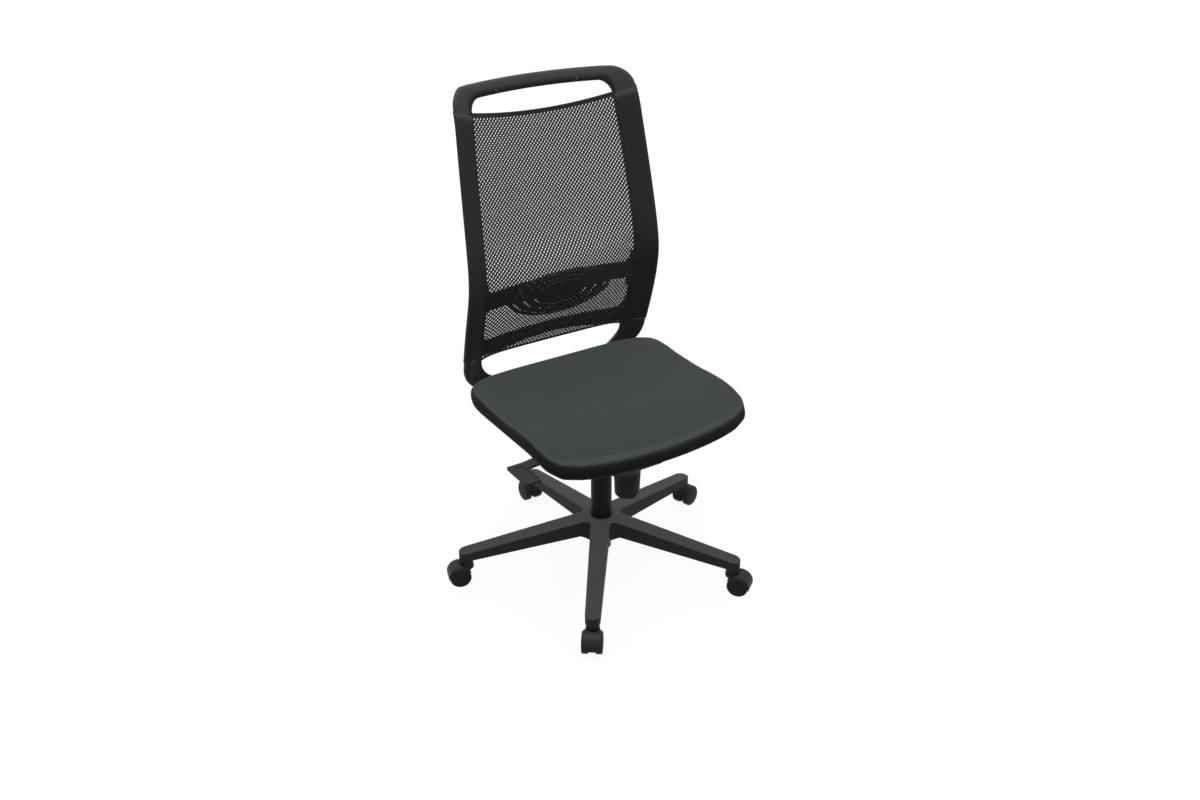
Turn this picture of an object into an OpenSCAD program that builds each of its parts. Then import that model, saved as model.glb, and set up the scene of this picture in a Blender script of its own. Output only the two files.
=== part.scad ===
// Mesh-back office chair on a five-arm base with twin-wheel casters.
// Millimetres. Z is up, the chair faces -Y, the origin is on the floor under the column.

/* [Star base] */
// Radius of the circle on which the caster axes stand
caster_circle_r = 333; // [315:1:350]
// Width of an arm at its tip
arm_tip_w = 35; // [34:0.5:38]
// Width of an arm where it leaves the hub
arm_root_w = 46; // [42:0.5:50]
// Radius of the fillet between two arms
arm_fillet_r = 13; // [9:0.5:18]
// Rise of an arm's top from the tip to the hub
arm_rise = 49; // [42:1:56]
// Depth of an arm's side at its tip
arm_tip_depth = 22; // [19:0.5:25]
// Depth of an arm's side at its root
arm_root_depth = 40; // [36:0.5:44]
// Wall of the hollow arms
arm_wall = 3.5; // [3:0.1:4.5]
// Thickness of the ribs inside the arms
arm_rib_t = 2.4; // [2:0.1:3]
// Radius of the hub under the arms
hub_r = 37; // [34:0.5:40]
// Height of the hub
hub_h = 56; // [50:1:60]
// Length of the caster socket at an arm's tip
socket_len = 37.6; // [36:0.2:42]

/* [Casters] */
// Radius of a wheel
wheel_r = 25.5; // [24.5:0.1:26.5]
// Width over the two wheels' outer faces
caster_w = 50; // [48:0.5:54]
// Gap between the two wheels
wheel_gap = 16.4; // [16:0.1:17.4]
// Distance from the swivel axis to the axle
caster_trail = 18.4; // [17.4:0.1:19.4]
// Clearance between a wheel and the hood over it
hood_clear = 0.8; // [0.7:0.1:1.2]
// Wall of the hood
hood_wall = 2; // [1.8:0.1:2.6]
// Width of the hood
hood_w = 41; // [38:0.5:43]
// Diameter of the caster stem
stem_d = 11; // [10:0.1:11.6]
// Diameter of the wheel axle
axle_d = 6; // [5:0.1:7]

/* [Column] */
// Outer diameter of the column tube
column_d = 50; // [48:0.5:52]
// Length of the column tube
column_len = 244; // [236:1:250]
// Length of tube that stands out under the hub
column_below_hub = 36; // [30:1:40]
// Diameter of the gas cylinder
gas_d = 28; // [27:0.1:28.6]
// Diameter of the piston rod
rod_d = 10; // [9:0.1:11]
// Travel of the seat below its shown height
lift_down = 45; // [30:1:46]
// Travel of the seat above its shown height
lift_up = 55; // [40:1:60]

/* [Mechanism] */
// Width of the mechanism's housing
mech_w = 136; // [130:1:142]
// Distance from the column axis to the front of the housing
mech_front = 164; // [162:1:170]
// Distance from the column axis to the rear of the housing
mech_rear = 90; // [84:1:94]
// Height of the housing's side walls
mech_h = 54; // [52:1:56]
// Thickness of the mechanism's sheet steel
sheet_t = 3; // [2.5:0.1:3.5]
// Distance from the column axis to the tension knob
knob_y = 110; // [106:1:112]
// Diameter of the tension knob at its top
knob_d = 62; // [58:0.5:66]
// Height of the tension knob
knob_h = 63; // [56:1:68]
// Radius of the pivot pins
pivot_r = 5; // [4.5:0.1:5.5]

/* [Levers] */
// Distance from the column axis to the outer edge of a lever's paddle
paddle_reach = 263; // [250:1:280]
// Width of a paddle, across the chair
paddle_w = 40; // [36:1:48]
// Length of a paddle, along the chair
paddle_len = 88; // [80:1:94]
// Thickness of a paddle
paddle_t = 6.5; // [6:0.5:9]
// Width of a lever's bar
lever_w = 28; // [24:1:32]

/* [Seat] */
// Half of the seat's width
seat_half_w = 269; // [250:1:280]
// Distance from the column axis to the seat's front edge
seat_front = 273; // [262:1:284]
// Distance from the column axis to the seat's rear edge
seat_rear = 195; // [190:1:198]
// Thickness of the cushion at its edge
cushion_edge_h = 44; // [38:1:50]
// Fall of the seat's front edge
front_drop = 36; // [24:1:42]
// Depth of the dish under the hips
dish_depth = 9; // [4:0.5:14]
// Thickness of the seat pan
pan_t = 8; // [6:0.5:9]

/* [Backrest] */
// Height of the handle's top over the seat's base
back_top = 707; // [690:1:730]
// Half of the back's width at its widest
back_half_w = 253; // [246:1:258]
// Half of the opening's width at its widest
opening_half_w = 199; // [192:1:204]
// Rise of the rails from their outer to their inner edge, towards the rear
rail_rise = 28; // [24:1:32]
// Depth of the frame's section
rail_depth = 17; // [15:0.5:19]
// Depth of the handle's section
handle_depth = 12; // [10:0.5:16]
// Height of the back's most forward point over the seat's base
lumbar_peak_z = 292; // [284:1:300]
// Distance of that point from the column axis
lumbar_peak_y = 134; // [132:1:140]
// Backward bow of the mesh between the rails
mesh_bow = 20; // [14:1:26]
// Thickness of the mesh
mesh_t = 1.2; // [1:0.1:1.6]
// Width of a strand of the mesh
strand_w = 2.8; // [2:0.1:4]
// Thickness of the sleeve's fabric
sleeve_t = 1.1; // [0.8:0.1:1.4]

/* [Lumbar support] */
// Height of the pad's centre over the seat's base
lumbar_z = 223; // [218:1:228]
// Length of the oval pad
pad_l = 278; // [250:1:286]
// Height of the oval pad
pad_h = 116; // [106:1:120]
// Thickness of the pad
pad_t = 4; // [3:0.5:5]
// Height of the lumbar bar
bar_h = 46; // [40:1:48]
// Number of slotted rings in the pad
pad_rings = 3; // [2:1:3]
// Travel of the lumbar support each way
lumbar_travel = 18; // [10:1:18]

/* [Hidden] */

// Fits
running = 0.05;
face_gap = 0.3;
over = 1;

// Colours
c_base = [0.17, 0.17, 0.17];
c_plastic = [0.10, 0.10, 0.105];
c_textile = [0.12, 0.12, 0.12];
c_seat = [0.25, 0.27, 0.28];
c_steel = [0.62, 0.62, 0.64];
c_dark_steel = [0.13, 0.13, 0.14];

// Star
arms = 5;
arm_step = 360 / arms;
first_arm = -90 - arm_step / 2;
arm_taper = atan((arm_root_w - arm_tip_w) / 2 / (caster_circle_r - hub_r));
fillet_steps = 8;
tip_steps = 12;
rib_shares = [0.22, 0.44, 0.66, 0.86];
root_run = 24;
root_drop = 10;

// Caster heights
swivel_gap_z = 25.9;
socket_z = wheel_r + swivel_gap_z;
arm_tip_z = socket_z + socket_len;
hub_top_z = arm_tip_z + arm_rise;
hub_bottom_z = hub_top_z - hub_h;
hood_in_r = wheel_r + hood_clear;
hood_out_r = hood_in_r + hood_wall;
hood_low_angle = -13;
hood_back_angle = 154;
hood_round = 1.6;
stem_r = stem_d / 2;
axle_r = axle_d / 2;
stem_wall = wheel_gap / 2 - face_gap - stem_r;
stem_in_socket = 30;
stem_floor = 3.4;
web_t = 7;
neck_h = 11;
wheel_w = (caster_w - wheel_gap) / 2;
wheel_face_t = 3;
wheel_rim_t = 3.6;
wheel_hub_r = 6.6;
wheel_round = 3.6;
wheel_dome = 1.2;
wheel_ribs = 6;
wheel_rib_t = 1.8;
axle_in_wheel = wheel_w - wheel_face_t - over;

// Column heights
column_z = hub_bottom_z - column_below_hub;
column_top_z = column_z + column_len;
column_wall = 2;
column_taper = 1.4;
column_chamfer = 3;
column_floor = 4;
bearing_h = 6;
bearing_r = 14;
shoulder_h = 3;
clip_h = 1.6;
clip_r = 9;
bush_len = 110;
bush_flange = 4;
gas_r = gas_d / 2;
rod_r = rod_d / 2;
gas_below_bush = 68;
gas_z = column_top_z - bush_len - gas_below_bush;
gas_wall = 3;
gas_guide = 12;
gas_taper = 1;
gas_cone_len = 42;
lift_stop = 7;
lift_gap = lift_down + lift_stop;
mech_z = column_top_z + lift_gap;
cone_inset = 2;
gas_top_z = mech_z + gas_cone_len - cone_inset;
piston_h = 10;
piston_stop = 9;
piston_z = gas_z + gas_guide + lift_up + piston_stop;
valve_r = 4;
valve_proud = 8;
valve_travel = 4.4;
valve_in = 25;

// Mechanism
mech_corner = 14;
sleeve_wall = 8;
front_pin_in = 16;
front_pin_drop = 6;
rear_pin_in = 28;
rear_pin_h = 28;
pin_end = 4;
front_pin_y = -(mech_front - front_pin_in);
front_pin_z = mech_z + mech_h - front_pin_drop;
rear_pin_y = mech_rear - rear_pin_in;
rear_pin_z = mech_z + rear_pin_h;
cup_depth = 28;
cup_step = 2;
cup_r = knob_d / 2 - cup_step;
cup_wall = 3;
cup_z = mech_z - cup_depth;
knob_top_z = cup_z - face_gap;
knob_z = knob_top_z - knob_h;
knob_taper = 2;
knob_round = 9;
knob_flutes = 18;
flute_r = 2.6;
flute_depth = 1.6;
flute_share = 0.45;
bolt_r = 5;
bolt_in_knob = 50;
spring_r = 20;
spring_wire = 2.6;
spring_turns = 5;
spring_steps = 10;
spring_sides = 6;
plate_t = 6;
plate_r = 25;
spring_plate_h = 46;
bolt_proud = 8;
seat_over_mech = 93;
spring_plate_z = mech_z + spring_plate_h;
bolt_top_z = spring_plate_z + plate_t + bolt_proud;
seat_base_z = mech_z + seat_over_mech;

// Levers
lever_pin_x = 40;
lever_pin_r = 3;
lever_pin_h = 44;
lever_pin_z = mech_z + lever_pin_h;
lever_front = -46;
lever_lean = 15;
paddle_h = 19;
paddle_top = mech_z + paddle_h;
bar_drop = 25;
lever_t = 9;
tongue_t = 7;
tongue_z = gas_top_z + valve_proud + face_gap;
tongue_half = 8;
tongue_past = 3;
lock_gap = 12;
lever_boss_r = 6;
lug_t = 4;
lug_w = 16;
panel_rim = 7;
panel_deep = 1.2;
lever_slot_h = 20;

// Seat
plate_gap = 0.2;
seat_plate_half = 86;
seat_plate_in = 2;
seat_plate_front = mech_front - seat_plate_in;
seat_plate_z = seat_base_z - plate_gap - sheet_t;
flange_gap = 5;
flange_x = mech_w / 2 + flange_gap;
flange_r = 13;
link_y = 165;
link_h = 53;
link_z = mech_z + link_h;
link_r = 4;
slot_clear = 1;
slot_run = 4;
slot_shift = 2;
tab_x = 47;
tab_half = 16;
tab_wall = 6;
tab_corner = 4;
outline_n_rear = 5.4;
outline_n_front = 10;
outline_mid_rear = 60;
front_bow_share = 0.144;
pan_share = 0.915;
pan_gap = 1.25;
drop_start = 120;
drop_power = 1.4;
hip_y = 25;
hip_len = 85;
thigh_lift = 5;
rear_lift = 5;
front_arch = 8;
crown_h = 4;
seat_sides = 58;
screw_r = 3;
screw_head_r = 6;
screw_head_h = 3;
screw_len = 9;
armrest_x = 180;
armrest_y = 45;
armrest_pitch = 120;
armrest_r = 3.4;
armrest_boss_r = 9;
armrest_boss_h = 6;

// Backrest
frame_bottom = -17;
frame_rim_low = 30;
seam_top = 657;
seam_low = 85;
side_slope_share = 0.04;
side_bend_share = 0.2575;
side_blend = 52.6;
side_low = 35;
handle_roll_r = 286;
rise_run = 43;
corner_out = 38;
corner_in = 30;
handle_bar = 27;
handle_crown = 1.5;
crossbar_z = 126;
crossbar_h = 26;
crossbar_rise = 4;
crossbar_depth = 9;
crossbar_bow = 22;
crossbar_round = 3;
rail_flat_z = 45;
rise_low_share = 0.85;
widest_out_z = 185;
widest_in_z = 305;
taper_out_run = 472;
taper_in_run = 340;
taper_low_run = 225;
taper_out_share = 0.09;
taper_in_share = 0.093;
taper_low_share = 0.0226;
handle_bevel_share = 0.45;
rail_bevel_share = 0.07;
seam_join = 10;
seam_join_in = 4;
bend_z = 45;
bend_in_z = 38;
bend_x = 120;
bend_in_x = 80;
net_cols = 10;
net_rows = 13;
net_gap = 0.5;
tape_w = 2.5;
hem_h = 7;
hem_gap = 2;
hem_sag = 17;
hem_low_rise = 8;
hem_low_dip = 14;
bump = 34;
bump_z = 230;
bump_len = 112;
rail_steps = 14;
bracket_half = 40;
bracket_t = 14;
bracket_bend_r = 26;
bracket_plate_half = 56;
bracket_plate_t = 10;
bracket_plate_top = 5;
bracket_plate_drop = 2;
bracket_corner = 9;
bracket_rib_start = 45;
bracket_rib_lap = 12;
bracket_rib_t = 12;
bracket_rib_h = 12;
ear_t = 6;
barrel_r = 13;
back_bolt_r = 4;
back_bolt_pitch = 47.5;

// Lumbar support
track_t = 5;
track_depth = 10;
track_half = 48;
clip_half = 25;
clip_t = 4;
clip_lip = 1.8;
track_gap = 0.4;
pad_back = 13;
pad_bow = 5;
bar_rise = 16;
bar_lift = 13;
slot_w = 3;

// General helpers

function arc(cx, cy, r, a0, a1, n) =
    [for (i = [0 : n]) let (a = a0 + (a1 - a0) * i / n) [cx + r * cos(a), cy + r * sin(a)]];

function rounded_box(x0, y0, x1, y1, r) = concat(
    arc(x1 - r, y0 + r, r, -90, 0, 6), arc(x1 - r, y1 - r, r, 0, 90, 6),
    arc(x0 + r, y1 - r, r, 90, 180, 6), arc(x0 + r, y0 + r, r, 180, 270, 6));

function clamp(v, low, high) = max(low, min(high, v));
function smooth(v) = let (s = clamp(v, 0, 1)) s * s * (3 - 2 * s);
function flat(lists) = [for (l = lists) each l];

// A tube mesh through rings of points; loop closes the last ring onto the first
module loft(rings, loop = false) {
    n = len(rings);
    m = len(rings[0]);
    last = loop ? n - 1 : n - 2;
    skin = [for (i = [0 : last], j = [0 : m - 1])
        let (k = (j + 1) % m, q = (i + 1) % n)
        each [[i * m + j, q * m + k, i * m + k], [i * m + j, q * m + j, q * m + k]]];
    caps = loop ? [] : concat(
        [for (j = [1 : m - 2]) [0, j, j + 1]],
        [for (j = [1 : m - 2]) [(n - 1) * m, (n - 1) * m + j + 1, (n - 1) * m + j]]);
    polyhedron(points = flat(rings), faces = concat(skin, caps), convexity = 6);
}

// A closed sheet between two grids of points, front and back
module sheet(front, back) {
    n = len(front);
    m = len(front[0]);
    off = n * m;
    function at(i, j) = i * m + j;
    faces_front = [for (i = [0 : n - 2], j = [0 : m - 2])
        each [[at(i, j), at(i, j + 1), at(i + 1, j + 1)], [at(i, j), at(i + 1, j + 1), at(i + 1, j)]]];
    faces_back = [for (f = faces_front) [f[0] + off, f[2] + off, f[1] + off]];
    rim = concat(
        [for (j = [0 : m - 2]) at(0, j)], [for (i = [0 : n - 2]) at(i, m - 1)],
        [for (j = [m - 1 : -1 : 1]) at(n - 1, j)], [for (i = [n - 1 : -1 : 1]) at(i, 0)]);
    count = len(rim);
    walls = [for (k = [0 : count - 1])
        let (a = rim[k], b = rim[(k + 1) % count])
        each [[a, b + off, b], [a, a + off, b + off]]];
    polyhedron(points = concat(flat(front), flat(back)),
        faces = concat(faces_front, faces_back, walls), convexity = 6);
}

// Extrudes an outline of (y, z) points across the chair
module across(half, points) {
    rotate([90, 0, 90]) linear_extrude(2 * half, center = true) polygon(points);
}

// Extrudes an outline of (x, z) points along the chair, from y0 to y1
module along(y0, y1, points) {
    translate([0, y1, 0]) rotate([90, 0, 0]) linear_extrude(y1 - y0) polygon(points);
}

module pin_x(y, z, r, half) {
    translate([-half, y, z]) rotate([0, 90, 0]) cylinder(h = 2 * half, r = r, $fn = 48);
}

// Star base

function star_outline(inset) =
    let (root = arm_root_w / 2 - inset, tip = arm_tip_w / 2 - inset, f = arm_fillet_r + inset,
        t = tan(arm_taper), half_step = arm_step / 2,
        d = (f / cos(arm_taper) + root + hub_r * t) / (sin(half_step) + t * cos(half_step)),
        span = 90 - half_step - arm_taper)
    flat([for (k = [0 : arms - 1])
        let (a = first_arm + k * arm_step, b = a + half_step)
        concat(
            arc(caster_circle_r * cos(a), caster_circle_r * sin(a), tip,
                a - 90 + arm_taper, a + 90 - arm_taper, tip_steps),
            arc(d * cos(b), d * sin(b), f, b + 180 + span, b + 180 - span, fillet_steps))]);

module arm_ribs() {
    for (k = [0 : arms - 1]) rotate(first_arm + k * arm_step) {
        translate([0, -arm_rib_t / 2, 0]) cube([caster_circle_r, arm_rib_t, hub_top_z]);
        for (s = rib_shares)
            translate([hub_r + s * (caster_circle_r - hub_r) - arm_rib_t / 2, -arm_root_w / 2, 0])
                cube([arm_rib_t, arm_root_w, hub_top_z]);
    }
}

module base_star() {
    end_r = caster_circle_r + arm_tip_w;
    slope = arm_rise / (caster_circle_r - hub_r);
    end_drop = slope * arm_tip_w;
    under_root = hub_top_z - arm_root_depth;
    under_tip = arm_tip_z - arm_tip_depth;
    slope_low = (under_root - under_tip) / (caster_circle_r - hub_r);
    socket_r = arm_tip_w / 2 - hood_round / 2;
    channel_end = caster_circle_r - socket_r - arm_wall;
    color(c_base) difference() {
        union() {
            intersection() {
                linear_extrude(hub_top_z + over) polygon(star_outline(0));
                rotate_extrude($fn = 120) polygon([
                    [0, hub_bottom_z], [hub_r, hub_bottom_z], [hub_r + root_run / 2, under_root - root_drop],
                    [hub_r + root_run, under_root - slope_low * root_run], [caster_circle_r, under_tip],
                    [end_r, under_tip - end_drop], [end_r, arm_tip_z - end_drop],
                    [hub_r, hub_top_z], [0, hub_top_z]]);
            }
            rotate_extrude($fn = 96) polygon([
                [0, hub_bottom_z], [hub_r - arm_wall, hub_bottom_z], [hub_r, hub_bottom_z + arm_wall],
                [hub_r, hub_top_z], [0, hub_top_z]]);
            for (k = [0 : arms - 1]) rotate(first_arm + k * arm_step)
                translate([caster_circle_r, 0, 0]) rotate_extrude($fn = 64) polygon([
                    [0, socket_z], [socket_r - 2 * hood_round, socket_z],
                    [socket_r - hood_round, socket_z + hood_round],
                    [socket_r, arm_tip_z - arm_tip_depth / 2], [0, arm_tip_z - arm_tip_depth / 2]]);
        }
        difference() {
            intersection() {
                linear_extrude(hub_top_z) polygon(star_outline(arm_wall));
                rotate_extrude($fn = 120) polygon([
                    [hub_r + arm_wall, 0], [channel_end, 0],
                    [channel_end, arm_tip_z + slope * (caster_circle_r - channel_end) - arm_wall],
                    [hub_r + arm_wall, hub_top_z - slope * arm_wall - arm_wall]]);
            }
            arm_ribs();
        }
        translate([0, 0, hub_bottom_z - over]) cylinder(
            h = hub_h + 2 * over, r1 = column_d / 2 - column_taper + running,
            r2 = column_d / 2 + running, $fn = 96);
        for (k = [0 : arms - 1]) rotate(first_arm + k * arm_step)
            translate([caster_circle_r, 0, socket_z - over])
                cylinder(h = stem_in_socket + over + running, r = stem_r + running, $fn = 48);
    }
}

// Casters: each is built on the X axis, trailing outwards, and turned to its arm

module at_caster(k) {
    rotate(first_arm + (k - 1) * arm_step) translate([caster_circle_r, 0, 0]) children();
}

module caster_stem(k) {
    tip = 1.2;
    groove = 0.6;
    groove_h = 3;
    top = socket_z + stem_in_socket;
    bottom = socket_z - face_gap - neck_h * 2;
    color(c_steel) at_caster(k) rotate_extrude($fn = 48) polygon([
        [0, bottom], [stem_r - tip, bottom], [stem_r, bottom + tip],
        [stem_r, top - 3 * groove_h], [stem_r - groove, top - 3 * groove_h],
        [stem_r - groove, top - 2 * groove_h], [stem_r, top - 2 * groove_h],
        [stem_r, top - tip], [stem_r - tip, top], [0, top]]);
}

module hood_band() {
    half = hood_w / 2;
    r = hood_round;
    translate([caster_trail, 0, wheel_r]) rotate([90, 0, 0]) rotate_extrude($fn = 96)
        polygon(concat(
            [[hood_in_r, -half], [hood_out_r - r, -half]],
            arc(hood_out_r - r, -half + r, r, -90, 0, 5),
            arc(hood_out_r - r, half - r, r, 0, 90, 5),
            [[hood_in_r, half]]));
}

module hood_gap() {
    reach = 2 * hood_out_r;
    translate([caster_trail, 0, wheel_r]) rotate([90, 0, 0]) linear_extrude(caster_w, center = true)
        polygon([[0, 0], reach * [cos(hood_back_angle), sin(hood_back_angle)],
            reach * [cos(hood_back_angle), -1], reach * [1, -1],
            reach * [cos(hood_low_angle), sin(hood_low_angle)]]);
}

module caster_hood(k) {
    top = socket_z - face_gap;
    neck_r = arm_tip_w / 2 - hood_round / 2;
    boss_r = stem_r + stem_wall;
    boss_z = top - 2 * neck_h - stem_floor;
    web_r = hood_in_r + hood_wall / 2;
    color(c_plastic) at_caster(k) difference() {
        union() {
            difference() {
                hood_band();
                hood_gap();
            }
            difference() {
                translate([0, 0, top - neck_h]) rotate_extrude($fn = 64) polygon([
                    [0, 0], [neck_r - 2 * hood_round, 0], [neck_r, 2 * hood_round],
                    [neck_r, neck_h], [0, neck_h]]);
                translate([caster_trail, 0, wheel_r]) rotate([90, 0, 0])
                    cylinder(h = caster_w, r = hood_in_r, center = true, $fn = 96);
            }
            difference() {
                translate([caster_trail, 0, wheel_r]) rotate([90, 0, 0])
                    cylinder(h = web_t, r = web_r, center = true, $fn = 96);
                translate([-wheel_r, -caster_w / 2, -wheel_r])
                    cube([4 * wheel_r, caster_w, 2 * (wheel_r - axle_d)]);
                translate([caster_trail + hood_in_r / 2, -caster_w / 2, 0])
                    cube([2 * wheel_r, caster_w, wheel_r + hood_in_r / 2]);
            }
            translate([0, 0, boss_z]) cylinder(h = top - boss_z, r = boss_r, $fn = 48);
        }
        translate([0, 0, top]) cylinder(h = 2 * wheel_r, r = arm_tip_w / 2 + over, $fn = 64);
        translate([0, 0, boss_z + stem_floor - running])
            cylinder(h = 2 * wheel_r, r = stem_r + running, $fn = 48);
        translate([caster_trail, 0, wheel_r]) rotate([90, 0, 0])
            cylinder(h = caster_w, r = axle_r + running / 2, center = true, $fn = 32);
    }
}

module caster_axle(k) {
    half = wheel_gap / 2 + axle_in_wheel - face_gap;
    chamfer = 0.6;
    color(c_steel) at_caster(k) translate([caster_trail, 0, wheel_r]) rotate([90, 0, 0])
        rotate_extrude($fn = 32) polygon([
            [0, -half], [axle_r - chamfer, -half], [axle_r, -half + chamfer],
            [axle_r, half - chamfer], [axle_r - chamfer, half], [0, half]]);
}

// One wheel on the Z axis, its open inner side at zero and its domed face up
module wheel_body() {
    face = wheel_w - wheel_dome;
    inner_r = wheel_r - wheel_rim_t;
    cavity = wheel_w - wheel_face_t - wheel_dome;
    difference() {
        rotate_extrude($fn = 96) polygon(concat(
            [[0, 0], [wheel_r - over, 0], [wheel_r, over]],
            arc(wheel_r - wheel_round, face - wheel_round, wheel_round, 0, 80, 6),
            [[wheel_r / 2, wheel_w - wheel_dome / 4], [0, wheel_w]]));
        difference() {
            translate([0, 0, -over]) cylinder(h = cavity + over, r = inner_r, $fn = 96);
            translate([0, 0, -over]) cylinder(h = wheel_w, r = wheel_hub_r, $fn = 48);
            for (i = [0 : wheel_ribs - 1]) rotate(i * 360 / wheel_ribs)
                translate([0, -wheel_rib_t / 2, over]) cube([wheel_r, wheel_rib_t, wheel_w]);
        }
        translate([0, 0, -over]) cylinder(h = axle_in_wheel + over, r = axle_r + running, $fn = 32);
    }
}

module wheel(k, side) {
    color(c_plastic) at_caster(k) translate([caster_trail, side * wheel_gap / 2, wheel_r])
        rotate([-side * 90, 0, 0]) wheel_body();
}

// Column

module column_tube() {
    r = column_d / 2;
    low_r = r - column_taper;
    hub_low = hub_bottom_z - column_z;
    hub_high = hub_top_z - column_z;
    color(c_plastic) translate([0, 0, column_z]) difference() {
        rotate_extrude($fn = 96) polygon([
            [0, 0], [low_r - column_chamfer, 0], [low_r, column_chamfer], [low_r, hub_low],
            [r, hub_high], [r, column_len], [0, column_len]]);
        translate([0, 0, column_floor])
            cylinder(h = column_len, r = r - column_wall - column_taper, $fn = 96);
        translate([0, 0, column_len - bush_len])
            cylinder(h = column_len, r = r - column_wall, $fn = 96);
        translate([0, 0, -over]) cylinder(h = 2 * column_floor, r = rod_r + running, $fn = 48);
    }
}

module guide_bush() {
    r = column_d / 2;
    bottom = column_top_z - bush_len;
    color(c_plastic) rotate_extrude($fn = 96) polygon([
        [gas_r + running, bottom], [r - column_wall - running, bottom],
        [r - column_wall - running, column_top_z + running], [r, column_top_z + running],
        [r, column_top_z + bush_flange - over], [r - over, column_top_z + bush_flange],
        [gas_r + running, column_top_z + bush_flange]]);
}

module thrust_bearing() {
    z = column_z + column_floor + running;
    color(c_steel) translate([0, 0, z]) difference() {
        cylinder(h = bearing_h, r = bearing_r, $fn = 64);
        translate([0, 0, -over]) cylinder(h = 2 * bearing_h, r = rod_r + running, $fn = 48);
        translate([0, 0, bearing_h / 3]) difference() {
            cylinder(h = bearing_h / 3, r = bearing_r + over, $fn = 64);
            translate([0, 0, -over]) cylinder(h = bearing_h, r = bearing_r - over, $fn = 64);
        }
    }
}

module piston_rod() {
    shoulder = column_z + column_floor + bearing_h + 2 * running;
    bottom = column_z - 3 * clip_h;
    groove_z = column_z - running;
    color(c_steel) rotate_extrude($fn = 48) polygon([
        [0, bottom], [rod_r - over, bottom], [rod_r, bottom + over],
        [rod_r, groove_z - clip_h - running], [rod_r - over, groove_z - clip_h - running],
        [rod_r - over, groove_z], [rod_r, groove_z],
        [rod_r, shoulder], [2 * rod_r, shoulder], [2 * rod_r, shoulder + shoulder_h],
        [rod_r, shoulder + shoulder_h], [rod_r, piston_z],
        [gas_r - gas_wall - running, piston_z], [gas_r - gas_wall - running, piston_z + piston_h],
        [0, piston_z + piston_h]]);
}

module retaining_clip() {
    z = column_z - running - clip_h;
    color(c_steel) translate([0, 0, z]) difference() {
        cylinder(h = clip_h - running, r = clip_r, $fn = 48);
        translate([0, 0, -over]) cylinder(h = 3 * clip_h, r = rod_r - over + running, $fn = 48);
        translate([0, -rod_r / 2, -over]) cube([2 * clip_r, rod_r, 3 * clip_h]);
    }
}

module gas_cylinder() {
    cone_z = mech_z;
    bore_r = gas_r - gas_wall;
    cavity_top = mech_z - gas_cone_len;
    color(c_steel) difference() {
        rotate_extrude($fn = 96) polygon([
            [0, gas_z], [gas_r - over, gas_z], [gas_r, gas_z + over], [gas_r, cone_z],
            [gas_r - gas_taper, gas_top_z], [0, gas_top_z]]);
        translate([0, 0, gas_z - over]) cylinder(h = 2 * gas_guide, r = rod_r + running, $fn = 48);
        translate([0, 0, gas_z + gas_guide])
            cylinder(h = cavity_top - gas_z - gas_guide, r = bore_r, $fn = 64);
        translate([0, 0, gas_top_z - valve_in])
            cylinder(h = valve_in + over, r = valve_r + running, $fn = 32);
    }
}

module valve_button() {
    bottom = gas_top_z - valve_in + valve_travel + 2 * face_gap;
    top = gas_top_z + valve_proud;
    color(c_steel) rotate_extrude($fn = 32) polygon([
        [0, bottom], [valve_r, bottom], [valve_r, top - over], [valve_r - over, top], [0, top]]);
}

// Mechanism

module lever_lugs(side) {
    x = side * lever_pin_x;
    top = lever_pin_z + lever_boss_r;
    for (y = [lever_front - lug_t - face_gap, tongue_half + face_gap])
        translate([0, y, 0]) along(0, lug_t, [
            [x - lug_w / 2, mech_z + sheet_t / 2], [x + lug_w / 2, mech_z + sheet_t / 2],
            [x + lug_w / 4, top], [x - lug_w / 4, top]]);
}

module mechanism_housing() {
    half = mech_w / 2;
    wall = sheet_t;
    slot_z = mech_z + bar_drop - (lever_slot_h - lever_t) / 2;
    color(c_dark_steel) difference() {
        union() {
            difference() {
                translate([0, 0, mech_z]) linear_extrude(mech_h)
                    polygon(rounded_box(-half, -mech_front, half, mech_rear, mech_corner));
                translate([0, 0, mech_z + wall]) linear_extrude(mech_h)
                    polygon(rounded_box(-half + wall, -mech_front + wall, half - wall,
                        mech_rear + mech_corner, mech_corner - wall));
            }
            translate([0, -knob_y, cup_z]) cylinder(h = cup_depth + wall, r = cup_r, $fn = 96);
            translate([0, 0, mech_z])
                cylinder(h = gas_cone_len - 2 * running, r = gas_r + sleeve_wall, $fn = 64);
            for (side = [-1, 1]) lever_lugs(side);
        }
        translate([0, -knob_y, cup_z + cup_wall])
            cylinder(h = 2 * cup_depth, r = cup_r - cup_wall, $fn = 96);
        translate([0, -knob_y, cup_z - over]) cylinder(h = cup_depth, r = bolt_r + running, $fn = 32);
        translate([0, 0, mech_z - over]) cylinder(
            h = gas_cone_len + over, r1 = gas_r + running, r2 = gas_r - gas_taper + running, $fn = 96);
        pin_x(front_pin_y, front_pin_z, pivot_r + running, mech_w);
        pin_x(rear_pin_y, rear_pin_z, pivot_r + running, mech_w);
        for (side = [-1, 1]) {
            translate([side * (half - wall / 2) - 2 * wall, lever_front - 2 * over, slot_z])
                cube([4 * wall, lever_w + 4 * over, lever_slot_h]);
            translate([side * lever_pin_x, mech_w / 2, lever_pin_z]) rotate([90, 0, 0])
                cylinder(h = mech_w, r = lever_pin_r + running, $fn = 32);
        }
    }
}

module pivot_pin(y, z) {
    half = flange_x + sheet_t + pin_end;
    chamfer = 1;
    color(c_steel) translate([0, y, z]) rotate([0, 90, 0]) rotate_extrude($fn = 48) polygon([
        [0, -half], [pivot_r - chamfer, -half], [pivot_r, -half + chamfer],
        [pivot_r, half - chamfer], [pivot_r - chamfer, half], [0, half]]);
}

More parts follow.
